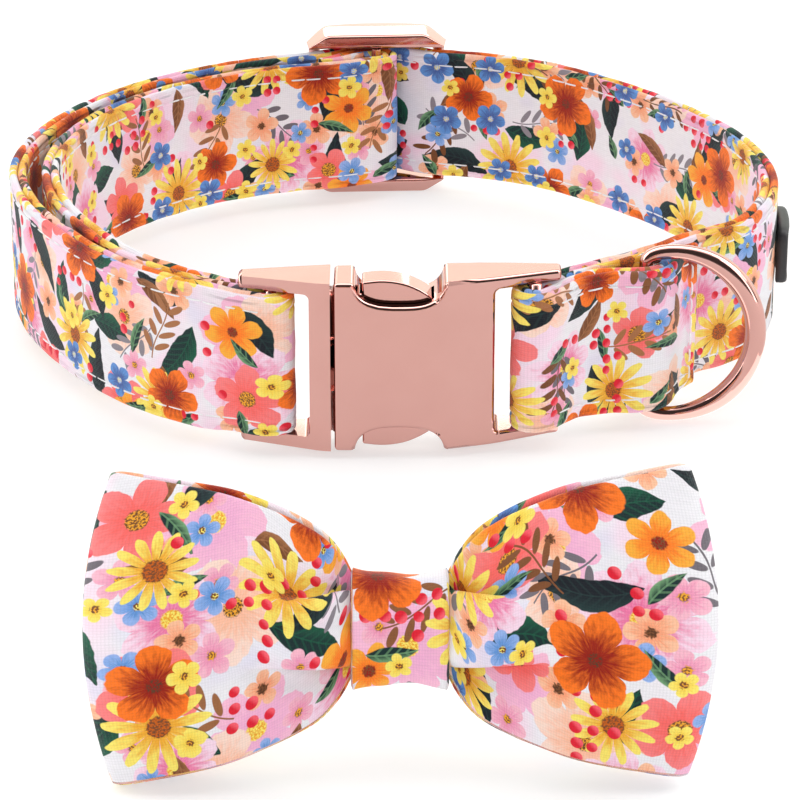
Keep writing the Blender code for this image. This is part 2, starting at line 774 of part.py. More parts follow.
def bow_mesh():
    """Bow body: one loop of cloth, flattened and pinched in the middle, open along top and bottom."""
    stations = bow_loop_stations()
    rows = [row[0] for row in PLEAT_SECTION]
    grid = []
    for share, front, sign in stations:
        grid.append([lobe_station(share, across, front, sign) for across in rows])
    rings = []
    for i, line in enumerate(grid):
        outside = []
        inner = []
        for j, point in enumerate(line):
            ahead = grid[(i + 1) % len(grid)][j] - grid[i - 1][j]
            up = line[min(j + 1, len(line) - 1)] - line[max(j - 1, 0)]
            normal = ahead.cross(up).normalized() * (BOW_CLOTH / 2)
            outside.append(point + normal)
            inner.append(point - normal)
        rings.append(outside + inner[::-1])
    return loft("bow_body", rings, closed=True)


def knot_mesh(count=20):
    """Knot: a short loop of cloth round the pinched middle, a little taller at its sides."""
    columns = (-1.0, -0.55, 0.0, 0.55, 1.0)
    rings = []
    for i in range(count):
        round_y, round_z = squared(2 * math.pi * i / count, 0.62)
        outside = []
        inner = []
        for share in columns:
            x = KNOT_LENGTH / 2 * share
            high = KNOT_HALF_HEIGHT + KNOT_FLARE * share ** 2
            outside.append(Vector((x, KNOT_HALF_DEPTH * round_y, high * round_z)))
            inner.append(Vector((
                x,
                (KNOT_HALF_DEPTH - BOW_CLOTH) * round_y,
                (high - BOW_CLOTH) * round_z,
            )))
        rings.append(outside + inner[::-1])
    return loft("bow_knot", rings, closed=True)


def back_loop_mesh(count=24):
    """Slack elastic loop behind the knot, which stretches over the collar's strap."""
    half_depth = BACK_LOOP_OPENING / 2 + BACK_LOOP_CLOTH
    middle = KNOT_HALF_DEPTH + TOUCH_GAP + half_depth
    rings = []
    for i in range(count):
        round_y, round_z = squared(2 * math.pi * i / count, 0.5)
        ring = []
        for x, inset in ((-1, 0.0), (1, 0.0), (1, 1.0), (-1, 1.0)):
            y = middle + (half_depth - inset * BACK_LOOP_CLOTH) * round_y
            z = (BACK_LOOP_HALF_HEIGHT - inset * BACK_LOOP_CLOTH) * round_z
            ring.append(Vector((x * BACK_LOOP_LENGTH / 2, y, z)))
        rings.append(ring)
    return loft("bow_loop", rings, closed=True)


def make_materials():
    """One material for each stuff that the set is made of."""
    made = {}
    for name, (colour, roughness, metallic) in COLOURS.items():
        stuff = bpy.data.materials.new(name)
        stuff.use_nodes = True
        shader = stuff.node_tree.nodes["Principled BSDF"]
        shader.inputs["Base Color"].default_value = (*colour, 1.0)
        shader.inputs["Roughness"].default_value = roughness
        shader.inputs["Metallic"].default_value = metallic
        made[name] = stuff
    return made


def world_corners(items):
    """Lowest and highest corner of these objects, with their modifiers."""
    bpy.context.view_layer.update()
    graph = bpy.context.evaluated_depsgraph_get()
    low = Vector((math.inf, math.inf, math.inf))
    high = -low
    for item in items:
        shown = item.evaluated_get(graph)
        for corner in shown.data.vertices:
            place = item.matrix_world @ corner.co
            low = Vector(map(min, low, place))
            high = Vector(map(max, high, place))
    return low, high


def main():
    for item in list(bpy.data.objects):
        bpy.data.objects.remove(item, do_unlink=True)
    collection = bpy.context.scene.collection
    stuff = make_materials()

    root = bpy.data.objects.new("set_origin", None)
    collection.objects.link(root)
    bow_frame = bpy.data.objects.new("bow_frame", None)
    collection.objects.link(bow_frame)
    bow_frame.parent = root

    collar = [new_object("strap", strap_mesh(), stuff["printed_cotton"], collection)]
    for name, mesh in (
        ("buckle_male_half", male_mesh()),
        ("buckle_female_half", female_mesh()),
        ("release_wing_top", wing_mesh("release_wing_top", 1)),
        ("release_wing_bottom", wing_mesh("release_wing_bottom", -1)),
        ("slider", slider_mesh()),
    ):
        piece = new_object(name, mesh, stuff["rose_gold"], collection)
        soften(piece, METAL_EDGE)
        collar.append(piece)
    ring = new_object("d_ring", ring_mesh(), stuff["rose_gold"], collection)
    ring.location = (RING_AXIS.x, RING_AXIS.y, MIDDLE_Z)
    collar.append(ring)
    label = new_object("label", label_mesh(), stuff["black_rubber"], collection)
    collar.append(label)
    for piece in collar:
        piece.parent = root

    bow = [
        new_object("bow_body", bow_mesh(), stuff["printed_cotton"], collection),
        new_object("bow_knot", knot_mesh(), stuff["printed_cotton"], collection),
        new_object("bow_back_loop", back_loop_mesh(), stuff["white_elastic"], collection),
    ]
    for piece in bow:
        piece.parent = bow_frame
    for piece in collar + bow:
        shade(piece.data)

    bow_frame.rotation_euler = (-math.radians(BOW_LEAN), 0.0, 0.0)
    bow_frame.location = (0.0, buckle_front() - BOW_AHEAD, 0.0)
    low, _ = world_corners(bow)
    bow_frame.location.z = -low.z

    low, high = world_corners(collar + bow)
    root.location = (-(low.x + high.x) / 2, -(low.y + high.y) / 2, -low.z)
    bpy.context.view_layer.update()


main()
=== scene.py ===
"""Looks of the pet bow tie collar: fine cloth, thread, polished metal, rubber, camera, floor and light."""
import math

import bmesh
import bpy
import numpy as np
from mathutils import Matrix, Vector


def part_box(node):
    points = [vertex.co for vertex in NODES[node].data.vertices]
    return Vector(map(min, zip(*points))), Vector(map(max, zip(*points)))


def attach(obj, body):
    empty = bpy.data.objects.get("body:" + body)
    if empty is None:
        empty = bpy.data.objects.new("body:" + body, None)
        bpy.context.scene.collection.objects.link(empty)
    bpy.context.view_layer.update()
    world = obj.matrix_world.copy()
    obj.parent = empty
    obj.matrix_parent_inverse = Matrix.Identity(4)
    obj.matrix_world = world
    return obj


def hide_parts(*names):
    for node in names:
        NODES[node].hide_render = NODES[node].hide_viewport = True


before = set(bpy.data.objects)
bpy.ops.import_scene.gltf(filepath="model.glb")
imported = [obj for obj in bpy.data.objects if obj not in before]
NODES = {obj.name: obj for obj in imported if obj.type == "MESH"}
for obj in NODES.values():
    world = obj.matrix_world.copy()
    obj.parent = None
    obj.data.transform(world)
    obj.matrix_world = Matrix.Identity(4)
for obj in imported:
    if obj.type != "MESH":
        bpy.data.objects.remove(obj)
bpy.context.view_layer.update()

# Sizes shared with the part, in metres
LOOP_HALF_WIDTH = 0.0665
BAND_WIDTH = 0.025
FOLD_WIDTH = 0.0242
STRAP_THICKNESS = 0.003
HALF_STRAP = STRAP_THICKNESS / 2
LEFT_SLACK = 0.0024
TOUCH_GAP = 0.0003
LAYER_GAP = 0.0004
WINDOW_CLEARANCE = 0.0003
MIDDLE_Z = 0.016
BUCKLE_LENGTH = 0.052
BUCKLE_HEIGHT = 0.0292
BUCKLE_THICKNESS = 0.0098
BUCKLE_PROUD = 0.0019
MALE_LENGTH = 0.0148
MALE_CROSSBAR = 0.0034
SLIT = 0.0006
BODY_WALL = 0.0016
BODY_END_WALL = 0.0022
POST_LENGTH = 0.0039
SCOOP_LENGTH = 0.0146
SCOOP_DEPTH = 0.0041
WING_REACH = 0.0161
WING_ROOT = 0.005
FOLD_GAP = 0.0022
MALE_BAR_INSET = 0.0052
FEMALE_BAR_INSET = 0.0042
BAR_RADIUS = 0.001
METAL_EDGE = 0.0004
METAL_ROUND = 0.00065
WINDOW_CORNER = 0.0009
SLIDER_ANGLE = 94.0
SLIDER_LENGTH = 0.026
SLIDER_CLEARANCE = 0.0008
SLIDER_RAIL = 0.0027
SLIDER_SIDE_BAR = 0.0022
SLIDER_CORNER = 0.0036
SLIDER_SLIM = 0.0010
SLIDER_COVER = 0.0011
SLIDER_BAR_DEPTH = 0.003
SLIDER_SPREAD = 11.0
TAIL_SPAN = 10.0
RING_ANGLE = -49.6
RING_SPREAD = 8.0
RING_BAR_DEPTH = 0.0004
RING_CLEARANCE = 0.0007
RING_REACH = 0.0200
RING_BAR = 0.0024
RING_WIRE = 0.0035
RING_CORNER = 0.0018
RING_SHOULDER = 0.0042
FRONT_LAYER_END = -38.4
STEP_DOWN_SPAN = 15.0
LABEL_ANGLE = -5.5
LABEL_SPAN = 12.0
LABEL_HEIGHT = 0.0104
LABEL_THICKNESS = 0.0019
BOW_HALF_WIDTH = 0.042
BOW_HALF_HEIGHT = 0.0203
BOW_RIM_TUCK = 0.5
BOW_CLOTH = 0.0013
BACK_LAYER_SHOWS = 0.0005
BOW_DEPTH = 0.0062
BOW_PLEAT = 0.0022
BOW_END_CURVE = 0.0038
BOW_TILT = 0.014
BOW_LEAN = 20.0
KNOT_LENGTH = 0.0126
KNOT_HALF_HEIGHT = 0.0073
KNOT_FLARE = 0.00085
KNOT_HALF_DEPTH = 0.0044
KNOT_DROP = 0.0006
BACK_LOOP_LENGTH = 0.011
BACK_LOOP_HALF_HEIGHT = 0.0063
BACK_LOOP_OPENING = 0.0066
BACK_LOOP_CLOTH = 0.0014
STITCH_INSET = 0.0025
STITCH_LENGTH = 0.0027
STITCH_PITCH = 0.0034
THREAD_RADIUS = 0.00016

# The strap's soft cloth: lengths in metres, and places over its face in mm from its middle line
HALF_BAND_MM = 12.5
SEAM_LINE_MM = 10.0
SEAM_WIDTH_MM = 0.22
SEAM_DEPTH = 0.0002
SEAM_PUFF = 0.0001
LIP_PRESS = 0.00006
FACE_WAVES = 0.00009
LIP_PUCKERS = 0.00007
PRESSED_END = 0.0045
END_CAP_STEPS = 6
END_CAP_BULGE = 0.30
END_CAP_CLOTH = 0.0035
# Where each cloth lies on the print, so that none repeats another
SECOND_PLY_PRINT = 0.083
BOW_PRINT = (0.61, 0.217)
KNOT_PRINT = (0.905, 0.331)
# Thread: how unevenly it is sewn, how far it sinks in, and the upright seams near the sewn ends
STITCH_START = 0.0003
STITCH_UNEVEN = 0.00012
STITCH_WANDER = 0.00008
STITCH_SINK = 0.00022
STRAIGHT_ENOUGH = 0.9
SEAM_PLACES = (0.0022, 0.003)
SEAM_STITCH = 0.0024
SEAM_PITCH = 0.003
SEAM_START = 0.0016
SEAM_STOP = 0.0035
RIM_BULGE = 0.00025

PLAN_OUTLINE = (
    (-105.0, 0.941), (-90.0, 0.907), (-74.0, 0.917), (-60.0, 0.928), (-41.0, 0.951), (-26.0, 0.982),
    (-8.0, 0.996), (12.0, 0.969), (32.0, 0.938), (50.0, 0.946), (65.0, 0.981), (79.0, 0.999),
    (94.0, 1.002), (109.0, 1.009), (124.0, 1.013), (143.0, 1.022), (162.0, 1.030), (180.0, 1.032),
    (193.0, 1.013), (210.0, 0.993), (231.0, 1.000), (244.0, 0.993), (255.0, 0.941),
)
INNER_SLACK = (
    (0.0, 0.35), (6.0, 0.75), (12.0, 1.25), (20.0, 1.15), (36.0, 0.85), (60.0, 0.75), (88.0, 0.95),
    (112.0, 0.50), (132.0, 0.12), (160.0, 0.0),
)
BUCKLE_PLAN = (
    (0.0, 0.45, 0.29, 0.980), (0.265, 0.0, 0.88, 1.0), (0.62, 0.0, 1.0, 1.0), (0.79, 0.26, 0.78, 1.0),
    (1.0, 0.71, 0.35, 0.980),
)
WING_BUTTON = ((0.0, 0.484), (0.3, 0.494), (0.6, 0.477), (0.85, 0.435), (1.0, 0.395))

# Bow lobe outwards: share of half width, half height, front depth, back depth, relief of the pleat,
# how far its lower edge and its upper edge are folded
LOBE_SECTIONS = (
    (0.0, 0.265, 0.15, 0.15, 0.30, 0.5, 0.5), (0.08, 0.270, 0.15, 0.15, 0.30, 0.6, 0.6),
    (0.148, 0.295, 0.17, 0.17, 0.45, 1.0, 1.0), (0.17, 0.375, 0.24, 0.22, 0.80, 1.0, 1.0),
    (0.20, 0.470, 0.32, 0.30, 1.0, 1.0, 0.95), (0.25, 0.575, 0.46, 0.44, 1.0, 1.0, 0.75),
    (0.33, 0.675, 0.66, 0.62, 0.80, 0.85, 0.40), (0.43, 0.765, 0.84, 0.82, 0.42, 0.45, 0.05),
    (0.55, 0.855, 0.97, 0.98, 0.10, 0.05, 0.0), (0.68, 0.915, 1.0, 1.04, 0.0, 0.0, 0.0),
    (0.80, 0.955, 0.92, 0.98, 0.0, 0.0, 0.0), (0.90, 0.985, 0.70, 0.76, 0.0, 0.0, 0.0),
    (0.965, 1.0, 0.42, 0.46, 0.0, 0.0, 0.0), (1.0, 1.0, 0.12, 0.12, 0.0, 0.0, 0.0),
)

# Pleat from bottom to top at the knot: place along the cloth, height above the bow's middle in
# metres where that is fixed, depth share
PLEAT_LOW = -0.0047
PLEAT_TOP = 0.0043
PLEAT_UNDER = 0.0017
PLEAT = (
    (-1.0, None, 0.0), (-0.75, None, -0.35), (-0.5, None, -0.8),
    (-0.385, PLEAT_LOW + PLEAT_UNDER * 0.72, -0.98), (-0.345, PLEAT_LOW + PLEAT_UNDER, -0.8),
    (-0.32, PLEAT_LOW + PLEAT_UNDER * 0.9, -0.35), (-0.29, PLEAT_LOW + PLEAT_UNDER * 0.45, 0.2),
    (-0.265, PLEAT_LOW + PLEAT_UNDER * 0.10, 0.65), (-0.245, PLEAT_LOW, 0.9),
    (-0.225, PLEAT_LOW + 0.00025, 1.08), (-0.18, PLEAT_LOW + 0.0011, 1.15), (0.0, -0.0001, 1.1),
    (0.15, PLEAT_TOP - 0.0011, 1.0), (0.19, PLEAT_TOP - 0.0003, 0.9), (0.21, PLEAT_TOP, 0.7),
    (0.235, PLEAT_TOP - 0.0003, 0.35), (0.265, PLEAT_TOP - 0.0009, -0.1), (0.295, PLEAT_TOP - 0.0012, -0.5),
    (0.325, PLEAT_TOP - 0.0009, -0.75), (0.375, PLEAT_TOP + 0.0001, -0.75), (0.55, None, -0.5),
    (0.78, None, -0.2), (1.0, None, 0.0),
)


def smooth_table(rows, place, column=1):
    last = len(rows) - 1
    place = min(max(place, rows[0][0]), rows[last][0])
    index = 0
    while index < last - 1 and place > rows[index + 1][0]:
        index += 1
    before = max(index - 1, 0)
    after = min(index + 2, last)
    start = rows[index][0]
    span = rows[index + 1][0] - start
    low = rows[index][column]
    high = rows[index + 1][column]
    slope_low = (high - rows[before][column]) / (rows[index + 1][0] - rows[before][0])
    slope_high = (rows[after][column] - low) / (rows[after][0] - start)
    t = (place - start) / span
    return ((2 * t ** 3 - 3 * t ** 2 + 1) * low + (t ** 3 - 2 * t ** 2 + t) * span * slope_low
            + (3 * t ** 2 - 2 * t ** 3) * high + (t ** 3 - t ** 2) * span * slope_high)


def straight_table(rows, place, column):
    for low, high in zip(rows, rows[1:]):
        if place <= high[0]:
            share = (place - low[0]) / (high[0] - low[0])
            return low[column] + share * (high[column] - low[column])
    return rows[-1][column]


def bump(share):
    return 0.0 if abs(share) >= 1 else math.cos(math.pi * share / 2) ** 2


def ease(share):
    """A smooth step from 0 to 1, for a number or an array."""
    share = np.clip(share, 0.0, 1.0)
    return share * share * (3 - 2 * share)


def outer_line(angle):
    wrapped = (angle + 105.0) % 360.0 - 105.0
    radius = LOOP_HALF_WIDTH * smooth_table(PLAN_OUTLINE, wrapped)
    turn = math.radians(angle)
    return Vector((radius * math.cos(turn), radius * math.sin(turn)))


def inward(angle):
    ahead = outer_line(angle + 1.0) - outer_line(angle - 1.0)
    return Vector((-ahead.y, ahead.x)).normalized()


def inside(angle, depth):
    return outer_line(angle) + inward(angle) * depth


def angle_at_x(x, start, end):
    for _ in range(40):
        middle = (start + end) / 2
        if (outer_line(middle).x - x) * (outer_line(start).x - x) > 0:
            start = middle
        else:
            end = middle
    return (start + end) / 2


BAR_TO_STRAP = BAR_RADIUS + TOUCH_GAP + HALF_STRAP


def web_depth(angle):
    slider_rise = SLIDER_BAR_DEPTH - BAR_TO_STRAP - LAYER_GAP - STRAP_THICKNESS - HALF_STRAP
    ring_rise = RING_BAR_DEPTH - RING_BAR / 2 - TOUCH_GAP - STRAP_THICKNESS
    depth = HALF_STRAP
    depth += slider_rise * bump((angle - SLIDER_ANGLE) / SLIDER_SPREAD)
    depth += ring_rise * bump((angle - RING_ANGLE) / RING_SPREAD)
    return depth


def layer_below(angle):
    run = (outer_line(angle + 1.0) - outer_line(angle - 1.0)).length
    slope = (web_depth(angle + 1.0) - web_depth(angle - 1.0)) / run
    return (STRAP_THICKNESS + LAYER_GAP) * math.sqrt(1 + slope ** 2)


def tail_depth(angle):
    return web_depth(angle) + layer_below(angle)


def inner_depth(angle):
    past = angle - SLIDER_ANGLE
    depth = HALF_STRAP + STRAP_THICKNESS + LAYER_GAP + LEFT_SLACK * smooth_table(INNER_SLACK, past)
    if past < TAIL_SPAN * 1.3:
        over_bar = (BAR_RADIUS * 2 + TOUCH_GAP) * bump(past / TAIL_SPAN)
        depth = max(depth, tail_depth(angle) + layer_below(angle) + over_bar)
    return depth


def right_depth(angle):
    step = ease((FRONT_LAYER_END + STEP_DOWN_SPAN - angle) / STEP_DOWN_SPAN)
    return web_depth(max(angle, RING_ANGLE + RING_SPREAD)) + (STRAP_THICKNESS + LAYER_GAP) * step


def squared(turn, power):
    across = math.copysign(abs(math.cos(turn)) ** power, math.cos(turn))
    return across, math.copysign(abs(math.sin(turn)) ** power, math.sin(turn))


def angle_steps(start, end, step=1.25):
    count = max(1, round(abs(end - start) / step))
    return [start + (end - start) * i / count for i in range(count + 1)]


def arc_round(centre, radius, start, end, count=17):
    points = []
    for i in range(count):
        turn = math.radians(start + (end - start) * i / (count - 1))
        points.append(centre + Vector((math.cos(turn), math.sin(turn))) * radius)
    return points


BUCKLE_FRONT = outer_line(-90.0).y - BUCKLE_PROUD


def buckle_section(x):
    share = x / BUCKLE_LENGTH + 0.5
    front = BUCKLE_FRONT + BUCKLE_THICKNESS * straight_table(BUCKLE_PLAN, share, 1)
    rear = BUCKLE_FRONT + BUCKLE_THICKNESS * straight_table(BUCKLE_PLAN, share, 2)
    return front, rear, BUCKLE_HEIGHT / 2 * straight_table(BUCKLE_PLAN, share, 3)


def buckle_bar(x):
    front, rear, _ = buckle_section(x)
    return Vector((x, (front + rear) / 2))


MALE_BAR = buckle_bar(-BUCKLE_LENGTH / 2 + MALE_BAR_INSET)
FEMALE_BAR = buckle_bar(BUCKLE_LENGTH / 2 - FEMALE_BAR_INSET)
SLIDER_BAR = inside(SLIDER_ANGLE, SLIDER_BAR_DEPTH)
RING_AXIS = inside(RING_ANGLE, RING_BAR_DEPTH)

# The part's own shift onto its footprint's centre, read off the buckle, which is centred on x = 0
male_low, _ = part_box("buckle_male_half")
_, female_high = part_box("buckle_female_half")
SHIFT = Vector(((male_low.x + female_high.x) / 2, male_low.y - BUCKLE_FRONT, 0.0))


def placed(x, y, z):
    return Vector((x + SHIFT.x, y + SHIFT.y, z))


def strap_route():
    past_rails = BUCKLE_LENGTH / 2 + STRAP_THICKNESS
    male_side = angle_at_x(-past_rails, 215.0, 265.0)
    female_side = angle_at_x(past_rails, -55.0, -85.0)
    tilt_male = math.degrees(math.atan2(*(inward(male_side).xy)))
    tilt_female = math.degrees(math.atan2(*(inward(female_side).xy)))
    tilt = math.degrees(math.atan2(-inward(SLIDER_ANGLE).x, -inward(SLIDER_ANGLE).y))
    route = [inside(a, tail_depth(a)) for a in angle_steps(SLIDER_ANGLE + TAIL_SPAN, SLIDER_ANGLE + 2.5)]
    route += arc_round(SLIDER_BAR, BAR_TO_STRAP, 90 - tilt, -90 - tilt)
    route += [inside(a, inner_depth(a)) for a in angle_steps(SLIDER_ANGLE + 3.0, male_side)]
    route += arc_round(MALE_BAR, BAR_TO_STRAP, 90 - tilt_male, -90 - tilt_male)
    route += [inside(a, web_depth(a)) for a in angle_steps(male_side, SLIDER_ANGLE - SLIDER_SPREAD)]
    route += [inside(a, right_depth(a)) for a in angle_steps(SLIDER_ANGLE - SLIDER_SPREAD, female_side)[1:]]
    route += arc_round(FEMALE_BAR, BAR_TO_STRAP, 90 - tilt_female, 270 - tilt_female)
    route += [inside(a, web_depth(a)) for a in angle_steps(female_side, FRONT_LAYER_END)]
    return np.array([(p.x, p.y) for p in route])


def line_lengths(points):
    """Distance from the start at each point of a flat line."""
    return np.concatenate(([0.0], np.cumsum(np.hypot(*np.diff(points, axis=0).T))))


def walked_along(points):
    """Distance from the start at each of a list of vectors."""
    walked = [0.0]
    for a, b in zip(points, points[1:]):
        walked.append(walked[-1] + (b - a).length)
    return walked


def resampled(points, step):
    """The same line with even steps, its small kinks eased."""
    for _ in range(3):
        along = line_lengths(points)
        even = np.linspace(0.0, along[-1], int(round(along[-1] / step)) + 1)
        points = np.stack([np.interp(even, along, points[:, i]) for i in (0, 1)], axis=1)
        points[1:-1] = points[1:-1] * 0.5 + (points[:-2] + points[2:]) * 0.25
    return points, line_lengths(points)


def ripples(seed, u, v, size, count=9):
    """A smooth, repeatable unevenness between about -1 and 1."""
    dice = np.random.default_rng(seed)
    total = np.zeros(np.broadcast(u, v).shape)
    for _ in range(count):
        turn = dice.uniform(0, 2 * math.pi)
        wave = dice.uniform(0.6, 1.7) * 2 * math.pi / size
        total += np.sin((u * math.cos(turn) + v * math.sin(turn)) * wave + dice.uniform(0, 6.28))
    return total / math.sqrt(count * 2)


def grid_faces(rows, columns, start=0, close_rows=False, close_columns=False):
    """Four-sided faces over rows of points, joined up in either direction if asked."""
    faces = []
    for i in range(rows if close_rows else rows - 1):
        for j in range(columns if close_columns else columns - 1):
            a, b, k = start + i * columns, start + (i + 1) % rows * columns, (j + 1) % columns
            faces.append((a + j, a + k, b + k, b + j))
    return faces


def new_mesh(name, points, faces, cloth=None, outwards=True):
    """A smooth mesh, its faces turned outwards if asked. cloth is each point's place on the print."""
    mesh = bpy.data.meshes.new(name)
    mesh.from_pydata([tuple(point) for point in points], [], faces)
    mesh.shade_smooth()
    if cloth is not None:
        layer = mesh.attributes.new("cloth_uv", "FLOAT_VECTOR", "POINT")
        layer.data.foreach_set("vector", np.asarray(cloth, dtype=np.float32).ravel())
    if outwards:
        shape = bmesh.new()
        shape.from_mesh(mesh)
        bmesh.ops.recalc_face_normals(shape, faces=shape.faces)
        shape.to_mesh(mesh)
        shape.free()
    return mesh


def new_object(name, data):
    item = bpy.data.objects.new(name, data)
    bpy.context.scene.collection.objects.link(item)
    return item


def declare(item, node=None, body="collar"):
    """Says which body a piece rides on, and the CAD node that it stands in for."""
    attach(item, body)
    if node:
        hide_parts(node)


def new_piece(name, mesh, material, node=None):
    mesh.materials.append(material)
    item = new_object(name, mesh)
    declare(item, node)
    return item


def linear(*levels):
    """Blender's colour for 8-bit sRGB levels."""
    return tuple(c / 255 / 12.92 if c <= 10 else ((c / 255 + 0.055) / 1.055) ** 2.4 for c in levels)


class Value:
    """A node's output that takes plain arithmetic."""

    def __init__(self, net, socket):
        self.net = net
        self.socket = socket

    def __add__(self, other):
        return self.net.math("ADD", self, other)

    def __sub__(self, other):
        return self.net.math("SUBTRACT", self, other)

    def __rsub__(self, other):
        return self.net.math("SUBTRACT", other, self)

    def __mul__(self, other):
        return self.net.math("MULTIPLY", self, other)

    def __truediv__(self, other):
        return self.net.math("DIVIDE", self, other)

    __radd__ = __add__
    __rmul__ = __mul__


class Net:
    """Short names for the nodes of one material or world."""

    def __init__(self, owner, shader="Principled BSDF"):
        owner.use_nodes = True
        self.owner = owner
        self.tree = owner.node_tree
        self.shader = self.tree.nodes[shader]

    def put(self, socket, value):
        """Links a node's output to a socket, or sets the socket to a number or a colour."""
        if isinstance(value, Value):
            value = value.socket
        if isinstance(value, bpy.types.NodeSocket):
            self.tree.links.new(value, socket)
        elif isinstance(value, (int, float)) or len(value) == len(socket.default_value):
            socket.default_value = value
        else:
            socket.default_value = (*value, 1.0)

    def node(self, kind, inputs=(), **settings):
        made = self.tree.nodes.new(kind)
        for key, value in settings.items():
            setattr(made, key, value)
        for key, value in dict(inputs).items():
            self.put(made.inputs[key], value)
        return made

    def output(self, key, kind, inputs=(), **settings):
        return Value(self, self.node(kind, inputs, **settings).outputs[key])

    def place(self):
        return self.output("Object", "ShaderNodeTexCoord")

    def math(self, operation, *values):
        return self.output(0, "ShaderNodeMath", enumerate(values), operation=operation)

    def over(self, low, high, value):
        """Nothing below low, one above high, smooth between them."""
        inputs = {"Value": value, "From Min": low, "From Max": high}
        return self.output("Result", "ShaderNodeMapRange", inputs, interpolation_type="SMOOTHSTEP")

    def mix(self, share, a, b):
        return self.output(2, "ShaderNodeMix", {0: share, 6: a, 7: b}, data_type="RGBA")

    def vector(self, x, y, z=0.0):
        return self.output(0, "ShaderNodeCombineXYZ", enumerate((x, y, z)))

    def split(self, vector):
        return [Value(self, part) for part in self.node("ShaderNodeSeparateXYZ", {0: vector}).outputs]

    def turned(self, place, angle):
        inputs = {"Vector": place, "Angle": angle}
        return self.output(0, "ShaderNodeVectorRotate", inputs, rotation_type="Z_AXIS")

    def noise(self, vector, scale, detail=2.0, rough=0.5, flat="2D"):
        inputs = {"Vector": vector, "Scale": scale, "Detail": detail, "Roughness": rough}
        return self.output(0, "ShaderNodeTexNoise", inputs, noise_dimensions=flat)

    def cells(self, vector, size, shift, spread):
        """Scattered places in cells of this size: this point's place in mm in its own cell, dice, and
        the cell's own place."""
        inputs = {"Vector": vector, "Scale": (1 / size, 1 / size, 1.0)}
        inputs["Location"] = (shift, shift * 0.73, 0.0)
        moved = self.output(0, "ShaderNodeMapping", inputs, vector_type="POINT")
        inputs = {"Vector": moved, "Scale": 1.0, "Randomness": spread}
        made = self.node("ShaderNodeTexVoronoi", inputs, voronoi_dimensions="2D", feature="F1")
        centre = made.outputs["Position"]
        local = self.output(0, "ShaderNodeVectorMath", {0: moved, 1: centre}, operation="SUBTRACT")
        sized = self.output(0, "ShaderNodeVectorMath", {0: local, "Scale": size * 1000}, operation="SCALE")
        dice = self.node("ShaderNodeSeparateColor", {0: made.outputs["Color"]}).outputs
        return sized, [Value(self, part) for part in dice], centre

    def shade(self, inputs):
        for key, value in inputs.items():
            self.put(self.shader.inputs[key], value)

    def emboss(self, height, strength, distance):
        """Fine relief in the shading."""
        inputs = {"Strength": strength, "Distance": distance, "Height": height}
        self.put(self.shader.inputs["Normal"], self.output(0, "ShaderNodeBump", inputs))


FULL_TURN = 6.28
# Blossoms up to this reach in mm are painted with less detail
SMALL_BLOSSOM = 3.5


def flower(net, under, row):
    """Blossoms scattered over what is under them, all over or gathered in clusters."""
    size, shift, spread, share, reach, count, waist, round_off, tips, core, heart, heart_reach, *gather = row
    place, dice, centre = net.cells(net.cloth, size, shift, spread)
    place = net.turned(place, dice[1] * FULL_TURN)
    x, y, _ = net.split(place)
    far = net.math("SQRT", x * x + y * y)
    turn = net.math("ARCTAN2", y, x)
    lobes = net.math("ABSOLUTE", net.math("COSINE", turn * (count / 2)))
    lobes = net.math("POWER", lobes, round_off)
    grown = (dice[2] * 0.35 + 0.8) * reach
    rim = (lobes * (1 - waist) + waist) * grown + (net.waver - 0.5) * (reach * 0.22)
    present = net.math("LESS_THAN", dice[0], share)
    if gather:
        present = present * net.math("GREATER_THAN", net.noise(centre, 0.33, 1.0), gather[0])
    petals = net.over(-0.10, 0.10, rim - far) * present
    detail = 3.0 if reach > SMALL_BLOSSOM else 1.0
    streaks = net.noise(net.vector(turn * 3.0, far * 0.25), 2.6, detail, 0.6)
    tone = net.mix(net.over(0.15, 0.95, far / grown + (streaks - 0.5) * 0.9), core, tips)
    tone = net.mix((1.0 - net.over(0.0, 0.5, lobes)) * 0.45, tone, core)
    painted = net.mix(petals, under, tone)
    speck = net.noise(place, 3.2, detail - 1.0)
    middle = net.over(-0.16, 0.16, heart_reach + speck * 0.5 - (far + 0.25)) * present
    return net.mix(middle, painted, net.mix(net.over(0.42, 0.58, speck), heart[0], heart[1]))


def leaf(net, under, row):
    """Single leaves with a lighter rib."""
    size, shift, spread, share, length, width, dark, light = row
    place, dice, _ = net.cells(net.cloth, size, shift, spread)
    x, y, _ = net.split(net.turned(place, dice[1] * FULL_TURN))
    y = y + x * x * 0.035
    along = x / ((dice[2] * 0.5 + 0.7) * length)
    belly = net.math("MAXIMUM", 1.0 - along * along, 0.0)
    belly = belly * width * (1.0 + along * -0.35) + (net.waver - 0.5) * (width * 0.35)
    away = net.math("ABSOLUTE", y)
    blade = net.over(-0.08, 0.08, belly - away) * net.math("LESS_THAN", dice[0], share)
    blade = blade * net.math("LESS_THAN", net.math("ABSOLUTE", along), 1.0)
    veins = net.math("SINE", (x - away * 1.1) * 4.5)
    tone = net.mix(net.over(0.2, 1.0, veins) * 0.45, dark, light)
    tone = net.mix(net.over(-0.2, 1.2, y / width), tone, light)
    tone = net.mix(net.over(0.05, 0.14, 0.2 - away) * 0.6, tone, light)
    return net.mix(blade, under, tone)


